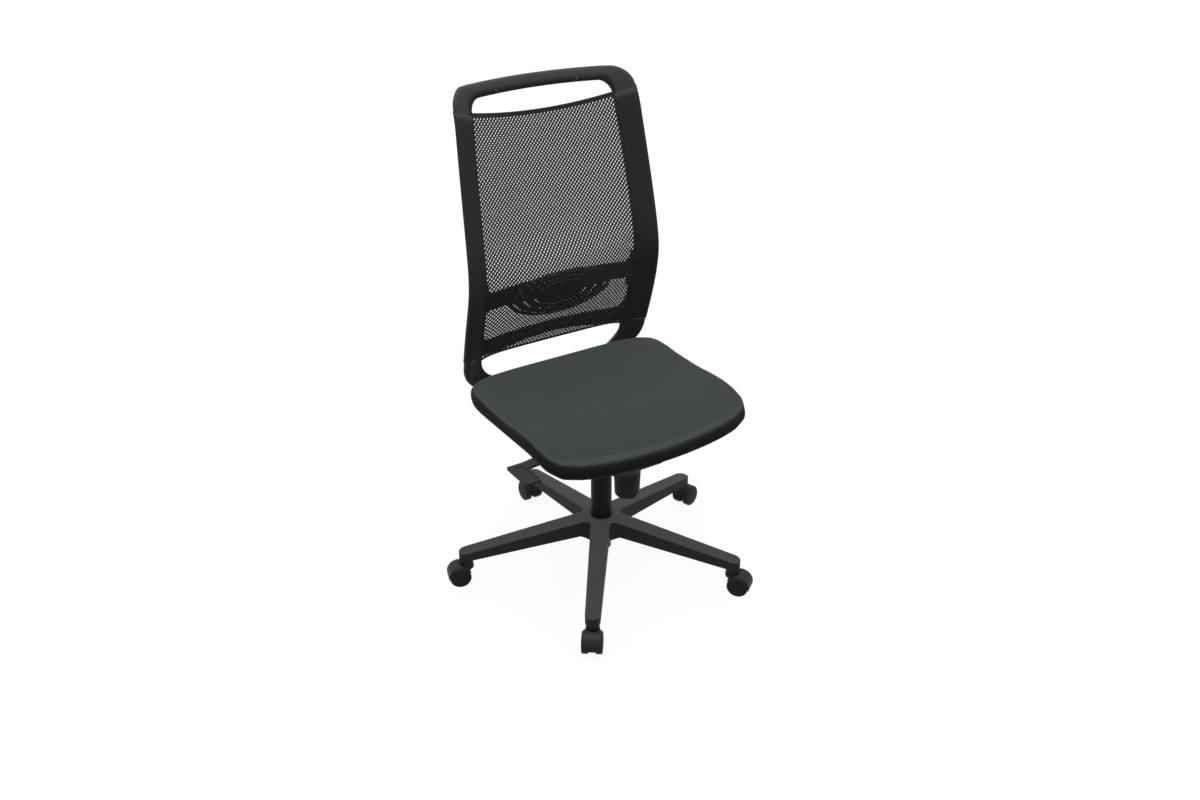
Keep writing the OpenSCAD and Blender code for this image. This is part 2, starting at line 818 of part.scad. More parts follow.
module lever_pins() {
    y0 = lever_front - lug_t - face_gap - over;
    y1 = tongue_half + lug_t + face_gap + over;
    color(c_steel) for (side = [-1, 1])
        translate([side * lever_pin_x, y1, lever_pin_z]) rotate([90, 0, 0])
            cylinder(h = y1 - y0, r = lever_pin_r, $fn = 32);
}

module tension_spring() {
    low = cup_z + cup_wall + spring_wire + face_gap;
    high = spring_plate_z - spring_wire - face_gap;
    steps = spring_turns * spring_steps;
    rings = [for (i = [0 : steps])
        let (a = 360 * i / spring_steps, z = low + (high - low) * i / steps)
        [for (j = [0 : spring_sides - 1])
            let (b = -360 * j / spring_sides, r = spring_r + spring_wire * cos(b))
            [r * cos(a), -knob_y + r * sin(a), z + spring_wire * sin(b)]]];
    color(c_steel) loft(rings);
}

module spring_plate() {
    color(c_dark_steel) translate([0, -knob_y, spring_plate_z]) difference() {
        union() {
            cylinder(h = plate_t / 2, r = plate_r, $fn = 64);
            cylinder(h = plate_t, r = plate_r / 2, $fn = 6);
        }
        translate([0, 0, -over]) cylinder(h = 2 * plate_t, r = bolt_r + running, $fn = 32);
    }
}

module tension_bolt() {
    color(c_steel) translate([0, -knob_y, 0]) rotate_extrude($fn = 32) polygon([
        [0, knob_top_z - bolt_in_knob], [bolt_r, knob_top_z - bolt_in_knob],
        [bolt_r, bolt_top_z - over], [bolt_r - over, bolt_top_z], [0, bolt_top_z]]);
}

module tension_knob() {
    r = knob_d / 2;
    low_r = r - knob_taper;
    color(c_plastic) translate([0, -knob_y, knob_z]) difference() {
        rotate_extrude($fn = 96) polygon(concat(
            [[0, 0]], arc(low_r - knob_round, knob_round, knob_round, -90, 0, 8),
            [[r, knob_h - over], [r - over, knob_h], [0, knob_h]]));
        for (i = [0 : knob_flutes - 1]) rotate(i * 360 / knob_flutes)
            translate([r + flute_r - flute_depth, 0, knob_h * flute_share])
                cylinder(h = knob_h, r = flute_r, $fn = 24);
        translate([0, 0, knob_h - bolt_in_knob - running])
            cylinder(h = knob_h, r = bolt_r + running / 2, $fn = 32);
    }
}

// A lever on the sitter's right; side = 1 mirrors it to the left, and reach is its inner end
module lever(side, reach) {
    out = -paddle_reach;
    inner = out + paddle_w;
    wall_x = -mech_w / 2;
    up_x = -lever_pin_x - 2 * lever_boss_r;
    bar_top = mech_z + bar_drop + lever_t;
    rear = lever_front + lever_w;
    tongue_top = tongue_z + tongue_t;
    mirror([side > 0 ? 1 : 0, 0, 0]) difference() {
        union() {
            translate([0, 0, paddle_top - paddle_t]) linear_extrude(paddle_t)
                polygon(rounded_box(out, rear - paddle_len, inner, rear, panel_rim / 2));
            along(lever_front, rear, [
                [inner - over, paddle_top - paddle_t], [wall_x - lever_lean, bar_top - lever_t],
                [up_x, bar_top - lever_t], [up_x + lever_t, tongue_z], [up_x + lever_t, tongue_top],
                [up_x, tongue_top], [up_x - lever_t / 2, bar_top], [wall_x - lever_lean, bar_top],
                [inner - over, paddle_top]]);
            along(lever_front, tongue_half, [
                [up_x + over, tongue_z], [reach, tongue_z], [reach, tongue_top - over],
                [reach - over, tongue_top], [up_x + over, tongue_top]]);
            translate([-lever_pin_x, tongue_half, lever_pin_z]) rotate([90, 0, 0])
                cylinder(h = tongue_half - lever_front, r = lever_boss_r, $fn = 48);
        }
        translate([0, 0, paddle_top - panel_deep]) linear_extrude(paddle_t)
            polygon(rounded_box(out + panel_rim, rear - paddle_len + panel_rim,
                inner - panel_rim, rear - lever_w / 2, panel_deep));
        translate([-lever_pin_x, mech_w / 2, lever_pin_z]) rotate([90, 0, 0])
            cylinder(h = mech_w, r = lever_pin_r + running, $fn = 32);
    }
}

module height_lever() { color(c_base) lever(-1, valve_r + tongue_past); }
module lock_lever() { color(c_base) lever(1, -gas_r - lock_gap); }

// Seat

function drop(y) = front_drop * pow(clamp((-y - drop_start) / (seat_front - drop_start), 0, 1), drop_power);
function edge_z(y) = cushion_edge_h + thigh_lift - thigh_lift * exp(-pow((y - hip_y) / hip_len, 2))
    + rear_lift * smooth((y - hip_y) / (seat_rear - hip_y)) - drop(y);
function arch_z(x, y) = front_arch * smooth((-y - drop_start) / (seat_front - drop_start))
    * (1 - pow(x / seat_half_w, 2));
function radius_at(a, w, d, n) = 1 / pow(pow(abs(cos(a)) / w, n) + pow(abs(sin(a)) / d, n), 1 / n);
function rear_point(a) = let (r = radius_at(a, seat_half_w, seat_rear - outline_mid_rear, outline_n_rear))
    [r * cos(a), outline_mid_rear + r * sin(a)];
function front_point(a) = let (r = radius_at(a, seat_half_w, seat_front, outline_n_front), x = r * cos(a))
    [x, r * sin(a) * (1 - front_bow_share * pow(x / seat_half_w, 2))];
function side_point(a) = sin(a) > 0 ? rear_point(a) : front_point(a);
function seat_outline(share) = [for (i = [0 : seat_sides - 1])
    let (p = side_point(360 * (i + 0.5) / seat_sides)) [p[0] * share, p[1] * share]];

// Rings of the cushion: over the pan, round its lower edge, and up the wall and over the top
function hub_ring(r) = [for (i = [0 : seat_sides - 1]) let (a = 360 * (i + 0.5) / seat_sides)
    [r * cos(a), r * sin(a), seat_base_z + pan_t + pan_gap]];
function pan_ring(share) = [for (p = seat_outline(share))
    [p[0], p[1], seat_base_z + pan_t + pan_gap - drop(p[1])]];
function low_ring(share, lift) = [for (p = seat_outline(share))
    [p[0], p[1], seat_base_z + lift - drop(p[1]) + arch_z(p[0], p[1])]];
function top_ring(share, lift) = [for (p = seat_outline(share))
    let (dish = dish_depth * exp(-pow((p[1] - hip_y) / (2 * hip_len), 2)) * (1 - share * share) * 2)
    [p[0], p[1], seat_base_z + edge_z(p[1]) - dish + lift]];

module seat_cushion() {
    hub_share = 0.055;
    pan_shares = [0.44, 0.53, 0.62, 0.71, 0.82, 0.928];
    edge_shares = [[0.94, 0], [0.958, 0], [0.982, 0.2]];
    wall_shares = [[1, -0.6], [0.99, -0.18], [0.975, -0.04], [0.955, 0]];
    top_shares = [0.925, 0.84, 0.73, 0.6, 0.46, 0.3, 0.12];
    color(c_seat) loft(concat(
        [hub_ring(seat_half_w * hub_share)],
        [for (s = pan_shares) pan_ring(s)],
        [for (s = edge_shares) low_ring(s[0], over + s[1] * cushion_edge_h)],
        [for (s = wall_shares) top_ring(s[0], s[1] * cushion_edge_h)],
        [for (s = top_shares) top_ring(s, crown_h * (1 - pow(s, 4)))]));
}

module seat_pan() {
    steps = 24;
    front = -seat_front * pan_share;
    rear = seat_rear * pan_share;
    top = [for (i = [0 : steps]) let (y = rear + (front - rear) * i / steps)
        [y, seat_base_z + pan_t - drop(y)]];
    low = [for (i = [steps : -1 : 0]) let (y = rear + (front - rear) * i / steps) [y, seat_base_z - drop(y)]];
    color(c_plastic) difference() {
        union() {
            intersection() {
                across(seat_half_w, concat(top, low));
                translate([0, 0, seat_base_z - 2 * cushion_edge_h]) linear_extrude(4 * cushion_edge_h)
                    polygon(seat_outline(pan_share));
            }
            for (side = [-1, 1], end = [-1, 1])
                translate([side * armrest_x, armrest_y + end * armrest_pitch / 2,
                    seat_base_z - armrest_boss_h])
                    cylinder(h = armrest_boss_h + over, r = armrest_boss_r, $fn = 48);
        }
        for (side = [-1, 1], end = [-1, 1])
            translate([side * armrest_x, armrest_y + end * armrest_pitch / 2,
                seat_base_z - armrest_boss_h - over])
                cylinder(h = armrest_boss_h + pan_t, r = armrest_r, $fn = 48);
        for (p = screw_places()) translate([p[0], p[1], seat_base_z - over])
            cylinder(h = pan_t, r = screw_r + running, $fn = 24);
        translate([-seat_plate_half - over, -seat_plate_front - over, seat_base_z - cushion_edge_h])
            cube([2 * (seat_plate_half + over), seat_plate_front, cushion_edge_h]);
    }
}

function screw_places() = [for (sx = [-1, 1], sy = [0, 1])
    [sx * (seat_plate_half - 3 * screw_head_r / 2), sy == 0 ? -mech_front / 2 : link_y - 2 * tab_half]];

module seat_screws() {
    head_z = seat_plate_z - screw_head_h;
    color(c_steel) for (p = screw_places()) translate([p[0], p[1], 0]) rotate_extrude($fn = 32) polygon([
        [0, head_z], [screw_head_r - over, head_z], [screw_head_r, head_z + over],
        [screw_head_r, seat_plate_z],
        [screw_r, seat_plate_z], [screw_r, seat_plate_z + screw_len], [0, seat_plate_z + screw_len]]);
}

module seat_plate() {
    rear = link_y + tab_half + sheet_t;
    front = -seat_plate_front;
    top = seat_plate_z + sheet_t / 2;
    flange = concat([[front_pin_y + 2 * flange_r, top], [front_pin_y - flange_r, top]],
        arc(front_pin_y, front_pin_z, flange_r, 180, 350, 12));
    tab_low = link_z - link_r - slot_clear - tab_wall;
    run = slot_run / 2 + slot_clear;
    color(c_dark_steel) difference() {
        union() {
            translate([0, 0, seat_plate_z]) linear_extrude(sheet_t)
                polygon(rounded_box(-seat_plate_half, front, seat_plate_half, rear, mech_corner));
            for (side = [-1, 1]) {
                translate([side * (flange_x + sheet_t / 2), 0, 0]) across(sheet_t / 2, flange);
                translate([side * (tab_x + sheet_t / 2), 0, 0]) across(sheet_t / 2, [
                    [link_y - tab_half, top], [link_y - tab_half, tab_low + tab_corner],
                    [link_y - tab_half + tab_corner, tab_low], [link_y + tab_half - tab_corner, tab_low],
                    [link_y + tab_half, tab_low + tab_corner], [link_y + tab_half, top]]);
            }
        }
        pin_x(front_pin_y, front_pin_z, pivot_r + running, mech_w);
        for (dy = [-run, run]) pin_x(link_y + slot_shift + dy, link_z, link_r + slot_clear, mech_w);
        translate([-mech_w, link_y + slot_shift - run, link_z - link_r - slot_clear])
            cube([2 * mech_w, 2 * run, 2 * (link_r + slot_clear)]);
        for (p = screw_places()) translate([p[0], p[1], seat_plate_z - over])
            cylinder(h = 3 * sheet_t, r = screw_r + running, $fn = 24);
        for (y = [-knob_y + plate_r, link_y - 3 * tab_half]) translate([0, y, seat_plate_z - over])
            cylinder(h = 3 * sheet_t, r = plate_r, $fn = 48);
    }
}

// Backrest: heights here count from the seat's base

function rail_y(z) = let (h = max(z, side_low), d = h - lumbar_peak_z)
    lumbar_peak_y - side_slope_share * d
    + side_bend_share * (sqrt(d * d + side_blend * side_blend) - side_blend)
    + pow(max(0, h - seam_top + corner_in), 2) / handle_roll_r;
function outer_w(z) = back_half_w * (1 - taper_out_share * pow(abs(z - widest_out_z) / taper_out_run, 1.45));
function inner_w(z) = let (d = z - widest_in_z)
    opening_half_w * (1 - (d > 0 ? taper_in_share * pow(d / taper_in_run, 1.5)
        : taper_low_share * pow(-d / taper_low_run, 1.5)));
function rise_at(z) =
    rail_rise * (rise_low_share + (1 - rise_low_share) * smooth((z - rail_flat_z) / rise_run));
function bow_at(z) = mesh_bow * smooth((z - rail_flat_z) / (3 * rise_run));
function frame_y(x, z) = let (w = outer_w(z), wi = inner_w(z), a = abs(x))
    rail_y(z) + rise_at(z) * smooth((w - a) / (w - wi))
    + bow_at(z) * (1 - pow(min(a / wi, 1), 2));
function net_y(x, z) = let (wi = inner_w(z))
    frame_y(x, z) - bump * exp(-pow((z - bump_z) / bump_len, 4)) * (1 - pow(min(abs(x) / wi, 1), 2));

// Stations of the frame's right half: [outer x, outer z, inner x, inner z, depth, bevel]
function handle_stations() =
    let (w = outer_w(back_top - corner_out), wi = inner_w(back_top - handle_bar - corner_in),
        zi = back_top - handle_bar, flat_out = w - corner_out, flat_in = wi - corner_in, n = 6, m = 7)
    concat(
        [for (i = [0 : n - 1]) let (s = i / n, crown = handle_crown * (1 - s * s))
            [s * flat_out, back_top + crown - handle_crown, s * flat_in, zi + crown - handle_crown,
                handle_depth, handle_bevel_share]],
        [for (i = [0 : m - 1]) let (a = 90 - 90 * i / m)
            [flat_out + corner_out * cos(a), back_top - handle_crown - corner_out + corner_out * sin(a),
                flat_in + corner_in * cos(a), zi - handle_crown - corner_in + corner_in * sin(a),
                handle_depth + (rail_depth - handle_depth) * i / m,
                handle_bevel_share + (rail_bevel_share - handle_bevel_share) * i / m]]);
function rail_stations() =
    let (z1 = back_top - handle_crown - corner_out, z0 = seam_low + seam_join,
        i1 = back_top - handle_bar - handle_crown - corner_in, i0 = seam_low + seam_join_in, n = rail_steps)
    [for (i = [0 : n]) let (s = i / n, zo = z1 + (z0 - z1) * s, zi = i1 + (i0 - i1) * s)
        [outer_w(zo), zo, inner_w(zi), zi, rail_depth, rail_bevel_share]];
function low_stations() =
    let (z0 = side_low + bend_z, i0 = side_low + bend_in_z, w = outer_w(z0), wi = inner_w(i0),
        rz = z0 - frame_bottom, iz = i0 - frame_bottom - frame_rim_low, m = 8, n = 4)
    concat(
        [for (i = [0 : m]) let (a = 90 * i / m)
            [w - bend_x + bend_x * cos(a), z0 - rz * sin(a),
                wi - bend_in_x + bend_in_x * cos(a), i0 - iz * sin(a),
                rail_depth, rail_bevel_share]],
        [for (i = [1 : n]) let (s = 1 - i / n)
            [s * (w - bend_x), frame_bottom, s * (wi - bend_in_x), frame_bottom + frame_rim_low,
                rail_depth, rail_bevel_share]]);

// Section of the frame: shares across the rail and shares of its depth
function section_shares(bevel) = [
    [0, 0.4], [0.06, 0.08], [0.2, 0], [0.55 - bevel / 2, 0], [1 - bevel, 0], [1, bevel],
    [1, 0.25 + bevel], [0.86, 0.95], [0.75, 1], [0.1, 1], [0.01, 0.8]];
function section_ring(s, side) = [for (p = section_shares(s[5]))
    let (x = s[0] + (s[2] - s[0]) * p[0], z = s[1] + (s[3] - s[1]) * p[0])
    [side * x, frame_y(x, z) + p[1] * s[4], z + seat_base_z]];

function half_stations() = concat(handle_stations(), rail_stations(), low_stations());

module crossbar() {
    n = 12;
    reach = inner_w(crossbar_z) + rail_depth * 0.8;
    rings = [for (i = [0 : n])
        let (u = 2 * i / n - 1, x = u * reach, k = 1 - u * u,
            flare = corner_in * 0.4 * pow(abs(u), 8),
            z1 = crossbar_z + crossbar_rise * k + flare,
            z0 = crossbar_z - crossbar_h + crossbar_rise * k - flare)
        let (a0 = z0 + crossbar_round, a1 = z1 - crossbar_round)
        [for (p = [[0.9, z0], [1, a0], [1, a1], [0.9, z1], [0.1, z1], [0, a1], [0, a0], [0.1, z0]])
            [x, frame_y(inner_w(p[1]), p[1]) + face_gap + crossbar_bow * k + p[0] * crossbar_depth,
                p[1] + seat_base_z]]];
    loft(rings);
}

module back_frame() {
    half = half_stations();
    n = len(half);
    rings = concat(
        [for (i = [0 : n - 1]) section_ring(half[i], 1)],
        [for (i = [n - 2 : -1 : 1]) section_ring(half[i], -1)]);
    color(c_plastic) union() {
        loft(rings, loop = true);
        crossbar();
    }
}

// The sleeve covers a rail's front and outer edge, between the two seams
module sleeve(side) {
    shares = section_shares(rail_stations()[0][5]);
    place_shares = [[4, 0, -1], [3, 0, -1], [2, 0, -1], [1, -0.6, -0.8], [0, -1, 0], [10, -1, 0.3]];
    function grid(d) = [for (s = rail_stations())
        [for (q = place_shares)
            let (p = shares[q[0]], x = s[0] + (s[2] - s[0]) * p[0], z = s[1] + (s[3] - s[1]) * p[0])
            [side * (x - q[1] * d), frame_y(x, z) + p[1] * s[4] + q[2] * d, z + seat_base_z]]];
    near = grid(face_gap);
    far = grid(face_gap + sleeve_t);
    color(c_textile) if (side > 0) sheet(far, near); else sheet(near, far);
}

module sleeve_right() { sleeve(-1); }
module sleeve_left() { sleeve(1); }

// The net: u runs across the back and v up it, both from 0 to 1
function net_point(u, v, d) =
    let (c = 2 * u - 1, zt = seam_top - hem_sag * (1 - c * c) - hem_h - hem_gap,
        zb = seam_low + hem_low_rise * c * c - hem_low_dip * pow(c, 8) + hem_h,
        z = zb + (zt - zb) * v, x = c * inner_w(z))
    [x, net_y(x, z) - net_gap - d, z + seat_base_z];

module mesh_panel() {
    nu = net_cols;
    nv = net_rows;
    cell_w = 2 * opening_half_w / nu;
    cell_h = (seam_top - seam_low) / nv;
    e = strand_w * 0.7 / cell_w;
    g = strand_w * 0.7 / cell_h;
    du = tape_w / (2 * opening_half_w);
    dv = hem_h / (seam_top - seam_low);
    c_count = (nu + 1) * (nv + 1);
    h_count = 2 * nu * (nv + 1);
    v_count = 2 * (nu + 1) * nv;
    t_count = 4 * nu * nv;
    function C(i, j) = j * (nu + 1) + i;
    function H(i, j, k) = c_count + 2 * (j * nu + i) + k;
    function V(i, j, k) = c_count + h_count + 2 * (j * (nu + 1) + i) + k;
    function T(i, j, k) = c_count + h_count + v_count + 4 * (j * nu + i) + k;
    net_uv = concat(
        [for (j = [0 : nv], i = [0 : nu]) [i, j]],
        [for (j = [0 : nv], i = [0 : nu - 1], k = [0, 1]) [i + (k == 0 ? e : 1 - e), j]],
        [for (j = [0 : nv - 1], i = [0 : nu], k = [0, 1]) [i, j + (k == 0 ? g : 1 - g)]],
        [for (j = [0 : nv - 1], i = [0 : nu - 1], q = [[e, 0], [0, g], [-e, 0], [0, -g]])
            [i + 0.5 + q[0], j + 0.5 + q[1]]]);
    bottom = flat([for (i = [0 : nu - 1]) [[C(i, 0), 0], [H(i, 0, 0), 1], [H(i, 0, 1), 0]]]);
    right = flat([for (j = [0 : nv - 1]) [[C(nu, j), 0], [V(nu, j, 0), 1], [V(nu, j, 1), 0]]]);
    top = flat([for (i = [nu - 1 : -1 : 0]) [[C(i + 1, nv), 0], [H(i, nv, 1), 1], [H(i, nv, 0), 0]]]);
    left = flat([for (j = [nv - 1 : -1 : 0]) [[C(0, j + 1), 0], [V(0, j, 1), 1], [V(0, j, 0), 0]]]);
    rim = concat(bottom, right, top, left);
    rim_n = len(rim);
    rim_uv = [for (r = rim) let (p = net_uv[r[0]])
        [p[0] == 0 ? -du * nu : p[0] == nu ? nu + du * nu : p[0],
            p[1] == 0 ? -dv * nv : p[1] == nv ? nv + dv * nv : p[1]]];
    uv = concat(net_uv, rim_uv);
    base = len(net_uv);
    total = len(uv);
    points = concat([for (p = uv) net_point(p[0] / nu, p[1] / nv, mesh_t)],
        [for (p = uv) net_point(p[0] / nu, p[1] / nv, 0)]);
    cells = [for (j = [0 : nv - 1], i = [0 : nu - 1]) each [
        [C(i, j), H(i, j, 0), V(i, j, 0)],
        [H(i, j, 0), T(i, j, 3), T(i, j, 2), V(i, j, 0)],
        [C(i + 1, j), V(i + 1, j, 0), H(i, j, 1)],
        [V(i + 1, j, 0), T(i, j, 0), T(i, j, 3), H(i, j, 1)],
        [C(i + 1, j + 1), H(i, j + 1, 1), V(i + 1, j, 1)],
        [H(i, j + 1, 1), T(i, j, 1), T(i, j, 0), V(i + 1, j, 1)],
        [C(i, j + 1), V(i, j, 1), H(i, j + 1, 0)],
        [V(i, j, 1), T(i, j, 2), T(i, j, 1), H(i, j + 1, 0)],
        [T(i, j, 0), T(i, j, 1), T(i, j, 2), T(i, j, 3)]]];
    strips = [for (k = [0 : rim_n - 1]) let (q = (k + 1) % rim_n)
        [rim[q][0], rim[k][0], base + k, base + q]];
    shapes = concat(cells, strips);
    tris = [for (f = shapes) each len(f) == 3 ? [f] : [[f[0], f[1], f[2]], [f[0], f[2], f[3]]]];
    gap_edges = concat(
        [for (j = [0 : nv - 1], i = [0 : nu - 1]) each [
            [H(i, j, 0), T(i, j, 3)], [T(i, j, 2), V(i, j, 0)], [V(i + 1, j, 0), T(i, j, 0)],
            [T(i, j, 3), H(i, j, 1)], [H(i, j + 1, 1), T(i, j, 1)], [T(i, j, 0), V(i + 1, j, 1)],
            [V(i, j, 1), T(i, j, 2)], [T(i, j, 1), H(i, j + 1, 0)]]],
        [for (k = [0 : rim_n - 1]) if (rim[k][1] == 1) [rim[(k + 1) % rim_n][0], rim[k][0]]],
        [for (k = [0 : rim_n - 1]) [base + k, base + (k + 1) % rim_n]]);
    walls = [for (w = gap_edges) each [[w[0], w[1], w[1] + total], [w[0], w[1] + total, w[0] + total]]];
    color(c_textile) polyhedron(points = points,
        faces = concat([for (f = tris) [f[2], f[1], f[0]]],
            [for (f = tris) [f[0] + total, f[1] + total, f[2] + total]],
            walls), convexity = 10);
}

// Bracket that carries the backrest on the mechanism's rear pivot

function frame_back_y() = frame_y(0, frame_bottom + frame_rim_low / 2) + rail_depth;

module back_bracket() {
    face = frame_back_y() + face_gap;
    bar_top = rear_pin_z + bracket_t / 2;
    bar_low = rear_pin_z - bracket_t / 2;
    bend_y = face - bracket_bend_r;
    bend_z = bar_top + bracket_bend_r;
    out_r = bracket_bend_r + bracket_plate_t;
    plate_top = seat_base_z + bracket_plate_top;
    rib_end = plate_top - bracket_rib_t;
    outline = concat(
        [[rear_pin_y, bar_low]], arc(bend_y, bend_z, bracket_bend_r + bracket_t, -90, -45, 6),
        arc(bend_y, bend_z, out_r, -45, 0, 6),
        [[face + bracket_plate_t, plate_top], [face, plate_top]],
        arc(bend_y, bend_z, bracket_bend_r, 0, -90, 10), [[rear_pin_y, bar_top]]);
    rib = concat(
        [[rear_pin_y + bracket_rib_start, rear_pin_z]],
        [[rear_pin_y + bracket_rib_start + bracket_rib_lap, bar_low - bracket_rib_h / 2]],
        arc(bend_y, bend_z, out_r + bracket_rib_h, -90, 0, 12),
        [[face + bracket_plate_t + bracket_rib_h / 2, rib_end - bracket_rib_t / 2],
            [face + bracket_plate_t / 2, rib_end]],
        arc(bend_y, bend_z, bracket_bend_r + bracket_plate_t / 2, 0, -90, 10));
    color(c_plastic) difference() {
        union() {
            across(bracket_half, outline);
            for (side = [-1, 1]) translate([side * (bracket_half - bracket_rib_t / 2), 0, 0])
                across(bracket_rib_t / 2, rib);
            translate([0, face, seat_base_z + frame_bottom - bracket_plate_drop])
                rotate([-90, 0, 0]) mirror([0, 1, 0])
                linear_extrude(bracket_plate_t) polygon(rounded_box(-bracket_plate_half, 0,
                    bracket_plate_half,
                    bracket_plate_top - frame_bottom + bracket_plate_drop, bracket_corner));
            pin_x(rear_pin_y, rear_pin_z, barrel_r, mech_w / 2 - sheet_t - 2 * over);
            for (side = [-1, 1]) translate([side * (bracket_half - ear_t / 2), 0, 0]) across(ear_t / 2, [
                [link_y - 2 * link_r, bar_top - over], [link_y + 2 * link_r, bar_top - over],
                [link_y + 2 * link_r, link_z], [link_y + link_r, link_z + 2 * link_r],
                [link_y - link_r, link_z + 2 * link_r], [link_y - 2 * link_r, link_z]]);
        }
        pin_x(rear_pin_y, rear_pin_z, pivot_r + running, mech_w);
        pin_x(link_y, link_z, link_r + running, mech_w / 2);
        for (x = [-back_bolt_pitch, 0, back_bolt_pitch])
            translate([x, face - over, seat_base_z + frame_bottom + frame_rim_low / 2]) rotate([-90, 0, 0])
                cylinder(h = 3 * bracket_plate_t, r = back_bolt_r + running, $fn = 32);
    }
}

module link_pin() {
    half = tab_x + 2 * sheet_t;
    color(c_steel) pin_x(link_y, link_z, link_r, half);
}

module bracket_bolts() {
    face = frame_back_y() + face_gap + bracket_plate_t + running;
    head_r = 1.5 * back_bolt_r;
    color(c_steel) for (x = [-back_bolt_pitch, 0, back_bolt_pitch])
        translate([x, face, seat_base_z + frame_bottom + frame_rim_low / 2])
            rotate([-90, 0, 0]) rotate_extrude($fn = 32)
            polygon([[0, -bracket_plate_t], [back_bolt_r, -bracket_plate_t], [back_bolt_r, 0], [head_r, 0],
                [head_r, back_bolt_r], [head_r - over, back_bolt_r + over], [0, back_bolt_r + over]]);
}

// Lumbar support: built upright about its own centre, then leaned with the rails

lumbar_lean = atan((rail_y(lumbar_z - clip_half) - rail_y(lumbar_z + clip_half)) / (2 * clip_half));
lumbar_y = net_y(0, lumbar_z) + pad_back;

module at_lumbar() {
    translate([0, lumbar_y, seat_base_z + lumbar_z]) rotate([lumbar_lean, 0, 0]) children();
}

function track_x() = inner_w(lumbar_z) - track_t - over;

module lumbar_tracks() {
    y0 = frame_y(inner_w(lumbar_z), lumbar_z) + rail_depth * 0.25 - lumbar_y;
    color(c_plastic) at_lumbar() for (side = [-1, 1]) mirror([side > 0 ? 0 : 1, 0, 0])
        translate([track_x(), y0, bar_lift - track_half]) difference() {
            linear_extrude(2 * track_half) polygon([
                [0, track_depth / 4], [track_t / 2, 0], [track_t, 0], [track_t, track_depth],
                [track_t / 2, track_depth], [0, track_depth * 3 / 4]]);
            for (z = [track_half / 4, track_half * 7 / 4])
                translate([-over, track_depth / 2, z]) rotate([0, 90, 0])
                cylinder(h = track_t + 2 * over, r = screw_r / 2, $fn = 24);
        }
}

module lumbar_clip(side) {
    y0 = frame_y(inner_w(lumbar_z), lumbar_z) + rail_depth * 0.25 - lumbar_y;
    x1 = track_x() - track_gap;
    low = y0 - track_gap - clip_lip;
    high = y0 + track_depth + clip_t;
    color(c_plastic) at_lumbar() mirror([side > 0 ? 0 : 1, 0, 0]) translate([0, 0, bar_lift - clip_half])
        linear_extrude(2 * clip_half) polygon([
            [x1 - clip_t, low + clip_lip], [x1 - clip_t / 2, low], [x1 + track_t / 2, low],
            [x1 + track_t / 2, y0 - track_gap], [x1, y0 + track_depth / 4 - track_gap],
            [x1, y0 + track_depth * 3 / 4 + track_gap], [x1 + track_t / 2, y0 + track_depth + track_gap],
            [x1 + track_t / 2, high], [x1 - clip_t / 2, high], [x1 - clip_t, high - clip_t / 2]]);
}

module lumbar_clip_right() { lumbar_clip(-1); }
module lumbar_clip_left() { lumbar_clip(1); }

function oval(k) = [for (i = [0 : 47]) let (a = 360 * i / 48)
    [pad_l / 2 * k * cos(a), pad_h / 2 * k * sin(a)]];

module ring_slots() {
    for (r = [1 : pad_rings]) {
        mid = 0.9 - 0.19 * (r - 1);
        w = slot_w / pad_h;
        difference() {
            polygon(oval(mid + w));
            polygon(oval(mid - w));
            for (a = [0, 90]) rotate(a) square([2 * pad_l, slot_w * 3], center = true);
            for (a = [-24, 24]) rotate(a) square([2 * pad_l, slot_w * 3], center = true);
        }
    }
}

module lumbar_pad() {
    reach = track_x() - track_gap - clip_t;
    n = 20;
    top = [for (i = [0 : n]) let (u = 1 - 2 * i / n)
        [u * reach, bar_lift + bar_rise * (1 - u * u) + bar_h / 2]];
    low = [for (i = [n : -1 : 0]) let (u = 1 - 2 * i / n)
        [u * reach, bar_lift + bar_rise * (1 - u * u) - bar_h / 2]];
    shell_r = (reach * reach + pad_bow * pad_bow) / (2 * pad_bow);
    color(c_plastic) at_lumbar() intersection() {
        rotate([90, 0, 0]) linear_extrude(2 * pad_l, center = true) union() {
            polygon(concat(top, low));
            difference() {
                polygon(oval(1));
                ring_slots();
            }
        }
        translate([0, shell_r, -pad_h]) difference() {
            cylinder(h = 2 * pad_h, r = shell_r, $fn = 360);
            translate([0, 0, -over]) cylinder(h = 3 * pad_h, r = shell_r - pad_t, $fn = 360);
            translate([-shell_r, over - shell_r + pad_l, -over]) cube([2 * shell_r, 2 * shell_r, 3 * pad_h]);
        }
    }
}

base_star();
column_tube();
guide_bush();
thrust_bearing();
piston_rod();
retaining_clip();
gas_cylinder();
valve_button();
caster_stem(1);  // caster_stem_1
caster_stem(2);  // caster_stem_2
caster_stem(3);  // caster_stem_3
caster_stem(4);  // caster_stem_4
caster_stem(5);  // caster_stem_5
caster_hood(1);  // caster_hood_1
caster_hood(2);  // caster_hood_2
caster_hood(3);  // caster_hood_3
caster_hood(4);  // caster_hood_4
caster_hood(5);  // caster_hood_5
caster_axle(1);  // caster_axle_1
caster_axle(2);  // caster_axle_2
caster_axle(3);  // caster_axle_3
caster_axle(4);  // caster_axle_4
caster_axle(5);  // caster_axle_5
wheel(1, 1);  // wheel_left_1
wheel(2, 1);  // wheel_left_2
wheel(3, 1);  // wheel_left_3
wheel(4, 1);  // wheel_left_4
wheel(5, 1);  // wheel_left_5
wheel(1, -1);  // wheel_right_1
wheel(2, -1);  // wheel_right_2
wheel(3, -1);  // wheel_right_3
wheel(4, -1);  // wheel_right_4
wheel(5, -1);  // wheel_right_5
mechanism_housing();
pivot_pin(front_pin_y, front_pin_z);  // front_pivot_pin
pivot_pin(rear_pin_y, rear_pin_z);  // rear_pivot_pin
lever_pins();
tension_spring();
spring_plate();
tension_bolt();
tension_knob();
height_lever();
lock_lever();
seat_plate();
